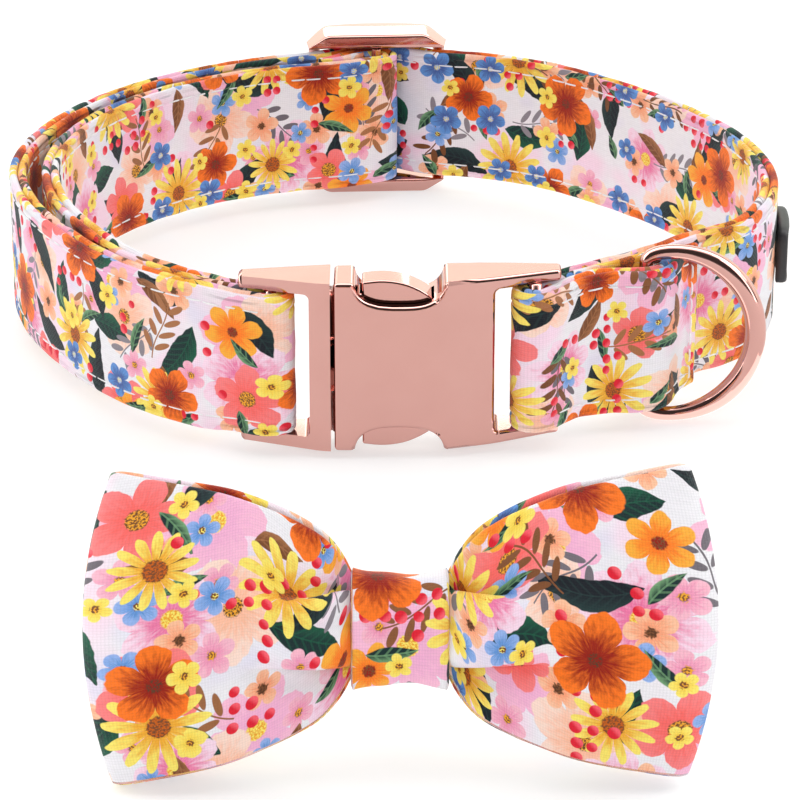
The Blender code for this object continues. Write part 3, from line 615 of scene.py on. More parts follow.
def sprig(net, under, row):
    """Stems with pairs of small leaves."""
    size, shift, spread, share, length, pace, dark, light = row
    place, dice, _ = net.cells(net.cloth, size, shift, spread)
    x, y, _ = net.split(net.turned(place, dice[1] * FULL_TURN))
    away = net.math("ABSOLUTE", y + net.math("SINE", x * 0.45) * 0.5)
    stem = net.over(0.0, 0.08, 0.16 - away) * net.math("LESS_THAN", net.math("ABSOLUTE", x), length)
    slanted = x - away * 0.75
    step = net.math("FLOORED_MODULO", slanted, pace) - pace / 2
    whole = net.math("LESS_THAN", net.math("ABSOLUTE", slanted - step), length - pace * 0.3)
    out = (away - 1.5) / 1.35
    across = step / (pace * 0.31)
    leaflet = net.over(0.0, 0.25, 1.0 - (out * out + across * across))
    shape = net.math("MAXIMUM", stem, leaflet * whole) * net.math("LESS_THAN", dice[0], share)
    return net.mix(shape, under, net.mix(net.over(0.3, 0.7, dice[2]), dark, light))


def berries(net, under, row):
    """Bunches of small round berries, each with a light spot."""
    size, shift, spread, gather, reach, dark, light = row
    place, dice, centre = net.cells(net.cloth, size, shift, spread)
    x, y, _ = net.split(place)
    near = net.math("SQRT", x * x + y * y)
    spot = net.over(-0.05, 0.09, reach * 0.75 + dice[2] * (reach * 0.25) - near)
    spot = spot * net.math("GREATER_THAN", net.noise(centre, 0.27, 1.0), gather)
    return net.mix(spot, under, net.mix(net.over(-reach * 0.3, reach * 0.9, x + y), dark, light))


WEAVE_PITCH = 0.00038
WHITE = linear(240, 237, 242)
PINK = linear(243, 176, 212)
PALE_PINK = linear(250, 219, 236)
ROSE = linear(238, 120, 165)
PEACH = linear(253, 190, 160)
PALE_PEACH = linear(253, 222, 208)
CORAL = linear(249, 105, 100)
ORANGE = linear(253, 122, 32)
SUNNY = linear(252, 176, 60)
DARK_RED = linear(150, 28, 10)
YELLOW = linear(252, 232, 110)
GOLD = linear(240, 168, 48)
BROWN = linear(120, 72, 40)
TAN = linear(170, 112, 72)
GREY = linear(112, 104, 112)
INK = linear(16, 44, 44)
GREEN = linear(22, 92, 66)
SAGE = linear(120, 168, 120)
BLUE = linear(96, 148, 214)
PALE_BLUE = linear(150, 180, 234)
NAVY = linear(70, 92, 156)
RED = linear(226, 30, 52)
DARK_BROWN = linear(92, 56, 34)

# Blossoms: cell size in metres, shift, scatter, how many are there, reach in mm, petals, waist, roundness,
# colour of the tips and of the middle, two colours of the heart and its reach in mm,
# and how tightly they gather where they do
PEONY = (0.0255, 3.3, 0.33, 0.92, 7.6, 6, 0.66, 0.7, linear(250, 190, 216), PINK, (GOLD, YELLOW), 1.5)
PEONY_TWO = (0.0265, 61.7, 0.33, 0.85, 7.4, 7, 0.62, 0.6, PALE_PINK, ROSE, (YELLOW, GOLD), 1.3)
PEACH_PEONY = (0.0245, 14.1, 0.35, 0.85, 6.8, 5, 0.62, 0.7, PALE_PEACH, PEACH, (GOLD, DARK_BROWN), 1.3)
CORAL_BLOOM = (0.0240, 7.9, 0.35, 0.62, 5.6, 5, 0.5, 0.6, linear(250, 130, 130), CORAL, (GOLD, BROWN), 1.4)
POPPY = (0.0225, 21.7, 0.35, 0.72, 5.7, 5, 0.48, 0.5, ORANGE, DARK_RED, (DARK_BROWN, DARK_RED), 1.0)
SUNNY_BLOOM = (0.0215, 71.9, 0.35, 0.45, 4.6, 6, 0.42, 0.5, SUNNY, ORANGE, (BROWN, DARK_RED), 0.9)
DAISY = (0.0215, 31.3, 0.3, 0.85, 6.4, 13, 0.22, 0.6, YELLOW, GOLD, (linear(200, 96, 24), BROWN), 1.5)
LITTLE_PINK = (0.0108, 44.9, 0.42, 0.50, 2.8, 5, 0.42, 0.45, linear(248, 186, 204), linear(240, 150, 184),
               (BROWN, GOLD), 0.62)
LITTLE_PEACH = (0.0118, 52.3, 0.4, 0.55, 3.2, 5, 0.4, 0.45, linear(253, 196, 160), linear(250, 160, 120),
                (BROWN, DARK_BROWN), 0.7)
FORGET = (0.0086, 63.1, 0.4, 0.85, 2.5, 5, 0.36, 0.42, PALE_BLUE, BLUE, (YELLOW, BROWN), 0.5, 0.58)
DEEP_BLUE = (0.0104, 75.7, 0.4, 0.75, 2.9, 5, 0.40, 0.42, BLUE, NAVY, (YELLOW, PALE_BLUE), 0.55, 0.56)
LITTLE_YELLOW = (0.0104, 83.5, 0.4, 0.34, 2.1, 5, 0.5, 0.5, YELLOW, linear(250, 214, 80), (GOLD, BROWN), 0.5)

# Leaves: cell size, shift, scatter, how many, half length and half width in mm, dark and light colour
BIG_LEAF = (0.0140, 92.1, 0.35, 0.62, 5.6, 2.2, INK, GREEN)
DARK_LEAF = (0.0165, 17.3, 0.35, 0.55, 6.4, 2.1, linear(20, 26, 34), linear(34, 58, 58))
RUST_LEAF = (0.0150, 103.9, 0.4, 0.42, 5.0, 1.4, BROWN, TAN)
SMALL_LEAF = (0.0105, 111.3, 0.4, 0.42, 3.4, 0.95, INK, SAGE)
GREY_SPRIG = (0.0175, 123.7, 0.35, 0.42, 5.6, 2.5, GREY, linear(140, 132, 140))
BROWN_SPRIG = (0.0175, 131.9, 0.35, 0.50, 5.6, 2.5, BROWN, TAN)
# Berries: cell size, shift, scatter, how tightly they gather, radius in mm, dark and light colour
RED_BERRIES = (0.0024, 143.3, 0.25, 0.66, 0.92, RED, linear(250, 96, 110))


# The print from the bottom layer up
PRINT = (
    (flower, PEONY), (flower, PEACH_PEONY), (leaf, BIG_LEAF), (flower, PEONY_TWO), (sprig, GREY_SPRIG),
    (flower, LITTLE_PINK), (leaf, DARK_LEAF), (flower, LITTLE_PEACH), (leaf, RUST_LEAF),
    (flower, CORAL_BLOOM), (sprig, BROWN_SPRIG), (flower, SUNNY_BLOOM), (flower, FORGET),
    (leaf, SMALL_LEAF), (flower, DAISY), (berries, RED_BERRIES), (flower, POPPY), (flower, DEEP_BLUE),
    (flower, LITTLE_YELLOW),
)


def make_cotton():
    net = Net(bpy.data.materials.new("printed_cotton_cloth"))
    net.cloth = net.output("Vector", "ShaderNodeAttribute", attribute_name="cloth_uv")
    net.waver = net.noise(net.cloth, 420.0, 2.0)
    x, y, _ = net.split(net.cloth)
    colour = net.mix(net.over(0.50, 0.72, net.noise(net.cloth, 60.0, 2.0)), WHITE, PALE_PINK)
    # Lilac-grey patches, laid at random over the white ground, are painted soft shade
    painted_lilac_shade = net.over(0.54, 0.70, net.noise(net.vector(x, y, 3.0), 75.0, 2.0, flat="3D"))
    colour = net.mix(painted_lilac_shade * 0.8, colour, linear(226, 220, 240))
    for paint, row in PRINT:
        colour = paint(net, colour, row)
    warp = net.math("SINE", x * (math.pi / WEAVE_PITCH))
    weft = net.math("SINE", y * (math.pi / WEAVE_PITCH))
    over = net.math("GREATER_THAN", warp * weft, 0.0)
    warp = net.math("SQRT", net.math("ABSOLUTE", warp))
    weft = net.math("SQRT", net.math("ABSOLUTE", weft))
    weave = over * (warp * (weft * 0.3 + 0.7)) + (1.0 - over) * (weft * (warp * 0.3 + 0.7))
    relief = weave + net.noise(net.vector(x * 0.25, y), 2200.0, 1.0) * 0.5
    # The relief also dims the colour: painted shade in the grooves between the threads, along with the slubs'
    # uneven tone
    inputs = {"Color": colour, "Value": 0.82 + relief * 0.16}
    net.shade({
        "Base Color": net.output(0, "ShaderNodeHueSaturation", inputs), "Roughness": 0.86,
        "Specular IOR Level": 0.25, "Sheen Weight": 0.12, "Sheen Roughness": 0.5,
    })
    net.emboss(relief, 0.55, 0.00012)
    return net.owner


def make_thread():
    net = Net(bpy.data.materials.new("white_thread"))
    twist = net.noise(net.place(), 5200.0, 2.0, flat="3D")
    net.shade({"Base Color": net.mix(twist, linear(226, 224, 228), linear(255, 255, 255)), "Roughness": 0.6})
    net.emboss(twist, 0.5, 0.00005)
    return net.owner


def make_rose_gold():
    net = Net(bpy.data.materials.new("polished_rose_gold"))
    cloudy = net.noise(net.place(), 160.0, 4.0, flat="3D")
    net.shade({
        "Base Color": net.mix(cloudy, linear(203, 153, 144), linear(208, 160, 151)),
        "Metallic": 1.0, "Roughness": 0.05 + cloudy * 0.05,
    })
    net.emboss(net.noise(net.place(), 2600.0, 2.0, flat="3D"), 0.05, 0.00004)
    return net.owner


def make_rubber():
    net = Net(bpy.data.materials.new("bare_black_rubber"))
    grain = net.noise(net.place(), 2400.0, 3.0, flat="3D")
    net.shade({
        "Base Color": net.mix(grain, linear(26, 26, 28), linear(46, 45, 48)),
        "Roughness": 0.42 + grain * 0.2,
    })
    net.emboss(grain, 0.25, 0.00008)
    return net.owner


def make_elastic():
    net = Net(bpy.data.materials.new("white_elastic_band"))
    x, _, z = net.split(net.place())
    ribs = net.math("SINE", x * (2 * math.pi / 0.0009))
    relief = ribs + net.math("SINE", z * (2 * math.pi / 0.0006)) * 0.4
    # The grooves between the ribs are painted darker: painted shade
    tone = net.mix(net.over(-1.2, 1.2, relief), linear(206, 204, 202), linear(244, 243, 240))
    net.shade({"Base Color": tone, "Roughness": 0.8})
    net.emboss(relief, 0.6, 0.0001)
    return net.owner


COTTON = make_cotton()
THREAD = make_thread()
ROSE_GOLD = make_rose_gold()
RUBBER = make_rubber()
ELASTIC = make_elastic()

# Strap: a lip's thickness place and drop from the edge, and the rows over half of one face, in mm
LIP = (
    (1.5, 1.05), (1.48, 0.66), (1.38, 0.32), (1.18, 0.08), (0.86, 0.0), (0.54, 0.07), (0.29, 0.26),
    (0.12, 0.56), (0.02, 0.85),
)
FACE_ROWS = (11.45, 10.9, 10.4, 10.15, 10.0, 9.85, 9.6, 9.1, 8.0, 6.0, 3.6, 1.2)


def strap_half_width(points):
    out = (np.abs(points[:, 0]) - BUCKLE_LENGTH / 2 - TOUCH_GAP) / (2 * STRAP_THICKNESS)
    half = FOLD_WIDTH / 2 + (BAND_WIDTH - FOLD_WIDTH) / 2 * ease(out)
    return np.where(points[:, 1] > 0, BAND_WIDTH / 2, half)


def ply_rows():
    """Rows over one face and its two lips: thickness place, drop from the edge or place across, kind."""
    rows = [(u, d, "top") for u, d in reversed(LIP)]
    rows += [(1.5, v, "face") for v in FACE_ROWS]
    rows += [(1.5, -v, "face") for v in reversed(FACE_ROWS)]
    rows += [(u, d, "bottom") for u, d in LIP]
    return rows


def ply_column(row, sign, along, half):
    """One row of cloth along the whole strap: how far out from the middle layer, and how far across."""
    thick, v, kind = row
    out = np.full(len(along), thick / 1000)
    if kind == "face":
        across = v / 1000 * (half / (BAND_WIDTH / 2))
        from_lip = HALF_BAND_MM - abs(v)
        seam = math.exp(-((abs(v) - SEAM_LINE_MM) / SEAM_WIDTH_MM) ** 2)
        out -= seam * (SEAM_DEPTH + SEAM_PUFF * np.abs(np.sin(along * math.pi / STITCH_PITCH)))
        out -= LIP_PRESS * bump(from_lip / 2.0)
        waves = ripples(5 if sign > 0 else 6, along, v / 1000, 0.012)
        out += FACE_WAVES * waves * min(from_lip / 2, 1)
    else:
        up = 1 if kind == "top" else -1
        pucker = LIP_PUCKERS * ripples(8 + up + sign, along, thick / 1000 * 3, 0.0065)
        across = up * (half - v / 1000 + pucker)
    from_end = ease(np.minimum(along, along[-1] - along) / PRESSED_END)
    return out * (0.5 + 0.5 * from_end), across


def build_strap():
    line, along = resampled(strap_route(), 0.001)
    ahead = np.gradient(line, axis=0)
    ahead /= np.linalg.norm(ahead, axis=1)[:, None]
    side = np.stack([-ahead[:, 1], ahead[:, 0]], axis=1)
    half = strap_half_width(line)
    rows = ply_rows()
    width = len(rows)
    middle = len(line) // 2
    points = []
    cloth = []
    faces = []
    for sign, offset in ((1, 0.0), (-1, SECOND_PLY_PRINT)):
        start = len(points)
        columns = [ply_column(row, sign, along, half) for row in rows]
        lengths = line_lengths(np.array([(out[middle], across[middle]) for out, across in columns]))
        lengths -= lengths[-1] / 2
        for i in range(len(line)):
            for j, (out, across) in enumerate(columns):
                spot = line[i] + side[i] * out[i] * sign
                points.append((spot[0] + SHIFT.x, spot[1] + SHIFT.y, MIDDLE_Z + across[i]))
                cloth.append((along[i], lengths[j] + offset, 0.0))
        strip = grid_faces(len(line), width, start)
        faces += strip if sign > 0 else [f[::-1] for f in strip]
    second = len(line) * width
    # The two sewn ends are turned in: a rounded cap joins both plies
    for end, step in ((0, -1), (len(line) - 1, 1)):
        start = len(points)
        for k in range(END_CAP_STEPS + 1):
            turn = math.pi * k / END_CAP_STEPS
            share = (1 - math.cos(turn)) / 2
            for j in range(end * width, end * width + width):
                a = np.array(points[j])
                b = np.array(points[second + j])
                spot = a * (1 - share) + b * share
                spot[:2] += ahead[end] * step * (math.sin(turn) * np.linalg.norm(a - b) * END_CAP_BULGE)
                points.append(tuple(spot))
                cloth.append((cloth[j][0] + step * END_CAP_CLOTH * k / END_CAP_STEPS, cloth[j][1], 0.0))
        faces += grid_faces(END_CAP_STEPS + 1, width, start)
    mesh = new_mesh("strap_cloth", points, faces, cloth, outwards=False)
    new_piece("strap_cloth", mesh, COTTON, "strap")
    return line, along, side, ahead, half


LINE, ALONG, SIDE, AHEAD, HALF = build_strap()

# One stitch: share of its length, lift and thickness in thread radii
STITCH_RINGS = ((0.0, -1.2, 0.6), (0.12, 0.1, 1.0), (0.5, 0.45, 1.05), (0.88, 0.1, 1.0), (1.0, -1.2, 0.6))
STITCH_SIDES = 6


def stitch(points, faces, a, b, out):
    """One raised stitch from a to b, sinking in at both ends."""
    run = (b - a).normalized()
    wing = run.cross(out).normalized()
    faces += grid_faces(len(STITCH_RINGS), STITCH_SIDES, len(points), close_columns=True)
    for share, lift, thick in STITCH_RINGS:
        centre = a.lerp(b, share) + out * lift * THREAD_RADIUS
        for k in range(STITCH_SIDES):
            turn = 2 * math.pi * k / STITCH_SIDES
            points.append(centre + (wing * math.cos(turn) + out * math.sin(turn)) * THREAD_RADIUS * thick)


def step_at(distance):
    return min(int(np.searchsorted(ALONG, distance)), len(ALONG) - 1)


def on_cloth(k, sign, sink, height):
    """A place on one face of the strap, sunk into it, and the way out from that face."""
    spot = LINE[k] + SIDE[k] * (HALF_STRAP - sink) * sign
    return placed(spot[0], spot[1], MIDDLE_Z + height), Vector((*(SIDE[k] * sign), 0.0))


def stitches():
    points = []
    faces = []
    dice = np.random.default_rng(3)
    for sign in (1, -1):
        for up in (1, -1):
            for n in range(int(ALONG[-1] / STITCH_PITCH)):
                here = n * STITCH_PITCH + STITCH_START + dice.uniform(-STITCH_UNEVEN, STITCH_UNEVEN)
                steps = step_at(here), step_at(here + STITCH_LENGTH)
                if float(np.dot(AHEAD[steps[0]], AHEAD[steps[1]])) < STRAIGHT_ENOUGH:
                    continue
                ends = []
                for k in steps:
                    across = up * (HALF[k] - STITCH_INSET + dice.uniform(-STITCH_WANDER, STITCH_WANDER))
                    ends.append(on_cloth(k, sign, STITCH_SINK, across))
                stitch(points, faces, ends[0][0], ends[1][0], ends[0][1])
    # Upright seams: the sewn front end and the tail
    for k in (step_at(ALONG[-1] - SEAM_PLACES[0]), step_at(SEAM_PLACES[1])):
        for sign in (1, -1):
            z = -HALF[k] + SEAM_START
            while z < HALF[k] - SEAM_STOP:
                low, out = on_cloth(k, sign, STITCH_WANDER, z)
                stitch(points, faces, low, low + Vector((0, 0, SEAM_STITCH)), out)
                z += SEAM_PITCH
    new_piece("strap_stitches", new_mesh("strap_stitches", points, faces), THREAD)


stitches()


def bow_origin():
    """The bow's own frame in its CAD mesh: its middle, the way up its face, and the way back."""
    low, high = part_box("bow_body")
    lean = math.radians(BOW_LEAN)
    corners = [vertex.co for vertex in NODES["bow_body"].data.vertices]
    middle_x = (low.x + high.x) / 2
    up = Vector((0.0, math.sin(lean), math.cos(lean)))
    back = Vector((0.0, math.cos(lean), -math.sin(lean)))
    heights = [c.dot(up) for c in corners]
    depths = [c.dot(back) for c in corners if abs(c.x - middle_x) < 0.001]
    centre = up * ((max(heights) + min(heights)) / 2) + back * ((max(depths) + min(depths)) / 2)
    return Vector((middle_x, centre.y, centre.z)), up, back


BOW, BOW_UP, BOW_BACK = bow_origin()


def in_bow(x, y, z):
    return BOW + Vector((x, 0.0, 0.0)) + BOW_BACK * y + BOW_UP * z


def pleat_height(place, half_height):
    """Height of the folded cloth at the knot: the flaps run straight from the pleat to the rims."""
    fixed = [row for row in PLEAT if row[1] is not None]
    rows = []
    for spot, height, _ in PLEAT:
        if height is None:
            inner = fixed[0] if spot < 0 else fixed[-1]
            share = (abs(spot) - abs(inner[0])) / (1 - abs(inner[0]))
            rim = math.copysign(half_height, spot)
            height = inner[1] + (rim - inner[1]) * share
        rows.append((spot, height))
    return smooth_table(rows, place)


def lobe_point(share, place, front, sign):
    half_height = BOW_HALF_HEIGHT * smooth_table(LOBE_SECTIONS, share, 1)
    depth = BOW_DEPTH * smooth_table(LOBE_SECTIONS, share, 2 if front else 3)
    depth *= 1 - BOW_RIM_TUCK * abs(place) ** 3 * ease((share - 0.16) / 0.2)
    strength = max(smooth_table(LOBE_SECTIONS, share, 4), 0.0)
    folded = min(max(smooth_table(LOBE_SECTIONS, share, 5 if place < 0 else 6), 0.0), 1.0)
    if not front:
        folded *= 0.35
        half_height += BACK_LAYER_SHOWS * bump((share - 0.40) / 0.36)
    height = half_height * place
    height += (pleat_height(place, half_height) - height) * folded
    relief = BOW_PLEAT * strength * smooth_table(PLEAT, place, 2) * (1.0 if front else 0.4)
    if place > 0:
        relief *= 0.75
    face = -1 if front else 1
    x = sign * (BOW_HALF_WIDTH * share - BOW_END_CURVE * share ** 5 * place ** 2)
    open_share = ease((share - 0.16) / 0.12)
    crinkle = 0.00020 * math.sin(x * 310 + place * 2.1) * math.sin(place * 5.3 + share * 3.0)
    crinkle += 0.00015 * math.sin(x * 150 - place * 4.7 + (1.3 if front else 0.2))
    crinkle += 0.00025 * math.sin(place * 13 + x * 60) * bump((share - 0.3) / 0.25)
    height += x * BOW_TILT * open_share
    return Vector((x, face * (depth + relief + crinkle * open_share), height))


# Runs of places up the bow's cloth, close together where it folds: start, span, steps
BOW_PLACES = ((-1.0, 0.56, 12), (-0.44, 0.26, 20), (-0.18, 0.32, 10), (0.14, 0.26, 20), (0.40, 0.60, 12))
BOW_STEPS = 64
RIM_STEPS = 5


def soft_rim(row, outside, within, end, last):
    """The rim is a soft fold between the outside and the lining."""
    middle = (outside[end] + within[end]) / 2
    radial = (outside[end] - within[end]) / 2
    up = (row[end] - row[end - last]).normalized() * (BOW_CLOTH / 2)
    turns = [math.pi * k / RIM_STEPS for k in range(1, RIM_STEPS)]
    return [middle + radial * math.cos(turn) + up * math.sin(turn) for turn in turns]


def build_bow():
    shares = [1 - (1 - i / BOW_STEPS) ** 1.25 for i in range(BOW_STEPS + 1)]
    stations = [(s, True, 1) for s in shares] + [(s, False, 1) for s in shares[-2::-1]]
    stations += [(s, False, -1) for s in shares[1:]] + [(s, True, -1) for s in shares[-2:0:-1]]
    places = [start + span * i / count for start, span, count in BOW_PLACES for i in range(count)] + [1.0]
    grid = [[lobe_point(s, p, front, sign) for p in places] for s, front, sign in stations]
    along_bow = walked_along([row[-1] for row in grid])
    points = []
    cloth = []
    for i, row in enumerate(grid):
        outside = []
        within = []
        for j, point in enumerate(row):
            run = grid[(i + 1) % len(grid)][j] - grid[i - 1][j]
            up = row[min(j + 1, len(row) - 1)] - row[max(j - 1, 0)]
            normal = run.cross(up).normalized() * (BOW_CLOTH / 2)
            outside.append(point + normal)
            within.append(point - normal)
        top = soft_rim(row, outside, within, len(row) - 1, 1)
        bottom = soft_rim(row, outside, within, 0, -1)
        ring = outside + top + within[::-1] + bottom[::-1]
        for point, height in zip(ring, walked_along(ring)):
            points.append(in_bow(*point))
            cloth.append((along_bow[i] + BOW_PRINT[0], height + BOW_PRINT[1], 0.0))
    faces = grid_faces(len(grid), len(ring), close_rows=True, close_columns=True)
    sunk = min(point.z for point in points)
    BOW.z -= sunk
    points = [point - Vector((0.0, 0.0, sunk)) for point in points]
    mesh = new_mesh("bow_cloth", points, faces, cloth)
    return new_piece("bow_cloth", mesh, COTTON, "bow_body"), along_bow[-1]


bow, bow_length = build_bow()


def knot_point(share, across, off):
    """A place round the knot, so far off its middle surface; its ends are flared."""
    high = KNOT_HALF_HEIGHT + KNOT_FLARE * share ** 2
    return Vector((KNOT_LENGTH / 2 * share, (KNOT_HALF_DEPTH + off) * across[0], (high + off) * across[1]))


def build_knot(sides=96, steps=20):
    shares = [-1 + 2 * i / steps for i in range(steps + 1)]
    rings = []
    for i in range(sides + 1):
        across = squared(2 * math.pi * i / sides, 0.62)
        ring = []
        for share in shares:
            soft = 0.00012 * math.sin(KNOT_LENGTH / 2 * share * 900 + across[1] * 3)
            soft += 0.0001 * math.sin(across[1] * 9 + share * 2)
            ring.append(knot_point(share, across, soft))
        within = [knot_point(share, across, -BOW_CLOTH) for share in reversed(shares)]
        right = (ring[-1] + within[0]) / 2 + Vector((RIM_BULGE, 0, 0))
        left = (ring[0] + within[-1]) / 2 - Vector((RIM_BULGE, 0, 0))
        rings.append(ring + [right] + within + [left])
    walked = walked_along([ring[steps // 2] for ring in rings])
    points = []
    cloth = []
    for ring, round_knot in zip(rings, walked):
        for point, across in zip(ring, walked_along(ring)):
            points.append(in_bow(point.x, point.y, point.z - KNOT_DROP))
            cloth.append((across + KNOT_PRINT[0], round_knot + KNOT_PRINT[1], 0.0))
    faces = grid_faces(len(rings), len(rings[0]), close_columns=True)
    mesh = new_mesh("bow_knot_cloth", points, faces, cloth)
    return new_piece("bow_knot_cloth", mesh, COTTON, "bow_knot"), walked[-1]


knot, knot_round = build_knot()


# Metal pieces, built from the part's own sizes with finer sections and softer edges
def lofted(name, rings, closed=False):
    """A solid through equal rings of points, capped at its ends unless it closes on itself."""
    size = len(rings[0])
    points = [point for ring in rings for point in ring]
    faces = grid_faces(len(rings), size, close_rows=closed, close_columns=True)
    if not closed:
        faces += [tuple(range(size)), tuple(range(len(points) - size, len(points)))]
    return new_mesh(name, points, faces)


def extruded(name, outline, low, high):
    """A solid between two levels of y, from its outline in x and z above the strap's middle."""
    return lofted(name, [[Vector((x, y, MIDDLE_Z + z)) for x, z in outline] for y in (low, high)])


def box_mesh(name, low, high):
    rings = []
    for x in (low[0], high[0]):
        rings.append([Vector((x, y, z)) for y, z in
                      ((low[1], low[2]), (high[1], low[2]), (high[1], high[2]), (low[1], high[2]))])
    return lofted(name, rings)


def rod_mesh(name, centre, radius, half_height, sides=28):
    turns = [2 * math.pi * i / sides for i in range(sides)]
    outline = [(centre.x + radius * math.cos(turn), centre.y + radius * math.sin(turn)) for turn in turns]
    levels = (MIDDLE_Z - half_height, MIDDLE_Z + half_height)
    return lofted(name, [[Vector((x, y, z)) for x, y in outline] for z in levels])


def cut_from(base, tools):
    """The mesh that is left when other meshes are cut from a base."""
    body = new_object("cut", base)
    used = [body]
    for mesh in tools:
        used.append(new_object(mesh.name, mesh))
        change = body.modifiers.new(mesh.name, "BOOLEAN")
        change.operation = "DIFFERENCE"
        change.solver = "EXACT"
        change.object = used[-1]
    graph = bpy.context.evaluated_depsgraph_get()
    result = bpy.data.meshes.new_from_object(body.evaluated_get(graph))
    for item in used:
        bpy.data.objects.remove(item, do_unlink=True)
    return result


def on_buckle_face(point):
    front, rear, _, _ = [corner.y for corner in buckle_slice(point.x)]
    return min(abs(point.y - front), abs(point.y - rear)) < 0.00008


def on_wing_face(point):
    front, rear = core_faces()
    return min(abs(point.y - face) for face in (front + TOUCH_GAP, rear - TOUCH_GAP)) < 0.00002


SHARP_TURN = math.radians(30)
ROUNDED_TURN = math.radians(34)
FLAT_TURN = math.radians(0.6)
WELD = 0.00002


def metal_piece(name, node, mesh, rounding=METAL_ROUND, body="collar", on_face=None, shells=()):
    """Puts a metal mesh in place of its CAD node, with even fillets round its faces."""
    shape = bmesh.new()
    shape.from_mesh(mesh)
    bmesh.ops.remove_doubles(shape, verts=shape.verts, dist=WELD)
    bmesh.ops.dissolve_limit(shape, angle_limit=FLAT_TURN, verts=shape.verts, edges=shape.edges)
    weight = shape.edges.layers.float.new("bevel_weight_edge")
    for edge in shape.edges:
        sharp = len(edge.link_faces) == 2 and edge.calc_face_angle(0.0) > SHARP_TURN
        if sharp and on_face and all(on_face(vertex.co) for vertex in edge.verts):
            edge[weight] = 1.0
        edge.smooth = not sharp or edge[weight] > 0 or not on_face
    for shell in shells:
        known = len(shape.edges)
        shape.from_mesh(shell)
        shape.edges.ensure_lookup_table()
        for edge in shape.edges[known:]:
            edge[weight] = 0.0
            edge.smooth = edge.calc_face_angle(0.0) < SHARP_TURN
    for face in shape.faces:
        face.smooth = True
    shape.to_mesh(mesh)
    shape.free()
    mesh.transform(Matrix.Translation(SHIFT))
    mesh.materials.clear()
    mesh.materials.append(ROSE_GOLD)
    item = new_object(name, mesh)
    if rounding:
        edge = item.modifiers.new("fillets", "BEVEL")
        edge.width = rounding
        edge.segments = 5
        edge.limit_method = "WEIGHT" if on_face else "ANGLE"
        edge.angle_limit = ROUNDED_TURN
        edge.use_clamp_overlap = not on_face
        edge.harden_normals = True
    declare(item, node, body)


# The buckle's corners run on in soft bends: shares of its length that are averaged
PLAN_EASE = (-0.03, -0.015, 0.0, 0.015, 0.03)


def buckle_slice(x):
    """One section of the buckle."""
    share = x / BUCKLE_LENGTH + 0.5
    front, thick, tall = [
        sum(straight_table(BUCKLE_PLAN, share + d, column) for d in PLAN_EASE) / len(PLAN_EASE)
        for column in (1, 2, 3)
    ]
    front = BUCKLE_FRONT + BUCKLE_THICKNESS * front
    rear = front + BUCKLE_THICKNESS * thick
    half = BUCKLE_HEIGHT / 2 * tall
    corners = ((front, -half), (rear, -half), (rear, half), (front, half))
    return [Vector((x, y, MIDDLE_Z + z)) for y, z in corners]


def buckle_block(name, start, end, count):
    return lofted(name, [buckle_slice(start + (end - start) * i / count) for i in range(count + 1)])


def window_cut(start, end, closed_side):
    """The opening between the rails, with round corners at its closed side."""
    half = FOLD_WIDTH / 2 + WINDOW_CLEARANCE
    outline = []
    for quarter, (side_x, side_z) in enumerate(((1, 1), (-1, 1), (-1, -1), (1, -1))):
        x = end if side_x > 0 else start
        if side_x != closed_side:
            outline.append((x, side_z * half))
            continue
        for i in range(7):
            turn = math.pi / 2 * (quarter + i / 6)
            outline.append((x + WINDOW_CORNER * (math.cos(turn) - side_x),
                            side_z * half + WINDOW_CORNER * (math.sin(turn) - side_z)))
    reach = BUCKLE_THICKNESS * 2
    return extruded("window", outline, BUCKLE_FRONT - reach, BUCKLE_FRONT + reach)


def core_faces():
    return BUCKLE_FRONT + BODY_WALL, BUCKLE_FRONT + BUCKLE_THICKNESS * 0.88 - BODY_WALL


def male_half():
    end = -BUCKLE_LENGTH / 2
    inner = end + MALE_LENGTH
    front, rear = core_faces()
    tongue = box_mesh(
        "tongue",
        (inner - MALE_CROSSBAR / 2, front + TOUCH_GAP, MIDDLE_Z - WING_ROOT + TOUCH_GAP),
        (inner + SLIT + WING_REACH - TOUCH_GAP, rear - TOUCH_GAP, MIDDLE_Z + WING_ROOT - TOUCH_GAP),
    )
    bar = rod_mesh("male_bar", MALE_BAR, BAR_RADIUS, FOLD_WIDTH / 2 + 2 * WINDOW_CLEARANCE)
    core_half = BUCKLE_HEIGHT / 2 - BODY_END_WALL - 2 * TOUCH_GAP
    lid = box_mesh("lid", (inner - TOUCH_GAP, front + 2 * TOUCH_GAP, MIDDLE_Z - core_half),
                   (inner + TOUCH_GAP * 0.9, rear - 2 * TOUCH_GAP, MIDDLE_Z + core_half))
    window = window_cut(end - 2 * BAR_RADIUS, inner - MALE_CROSSBAR, 1)
    body = cut_from(buckle_block("male", end, inner, 12), [window])
    metal_piece("male_half_fine", "buckle_male_half", body,
                on_face=on_buckle_face, shells=(bar, tongue, lid))


def scoop_cut(sign):
    start = -BUCKLE_LENGTH / 2 + MALE_LENGTH + SLIT + POST_LENGTH - METAL_EDGE - TOUCH_GAP
    centre_x = start + SCOOP_LENGTH / 2
    rise = SCOOP_DEPTH * 0.35
    half_depth = SCOOP_DEPTH + rise
    outline = []
    for i in range(48):
        wide, high = squared(2 * math.pi * (i + 0.5) / 48, 0.7)
        middle_z = sign * (BUCKLE_HEIGHT / 2 + rise)
        outline.append((centre_x + SCOOP_LENGTH / 2 * wide, middle_z + half_depth * high))
    return extruded("scoop", outline, BUCKLE_FRONT - BUCKLE_THICKNESS, BUCKLE_FRONT + 2 * BUCKLE_THICKNESS)


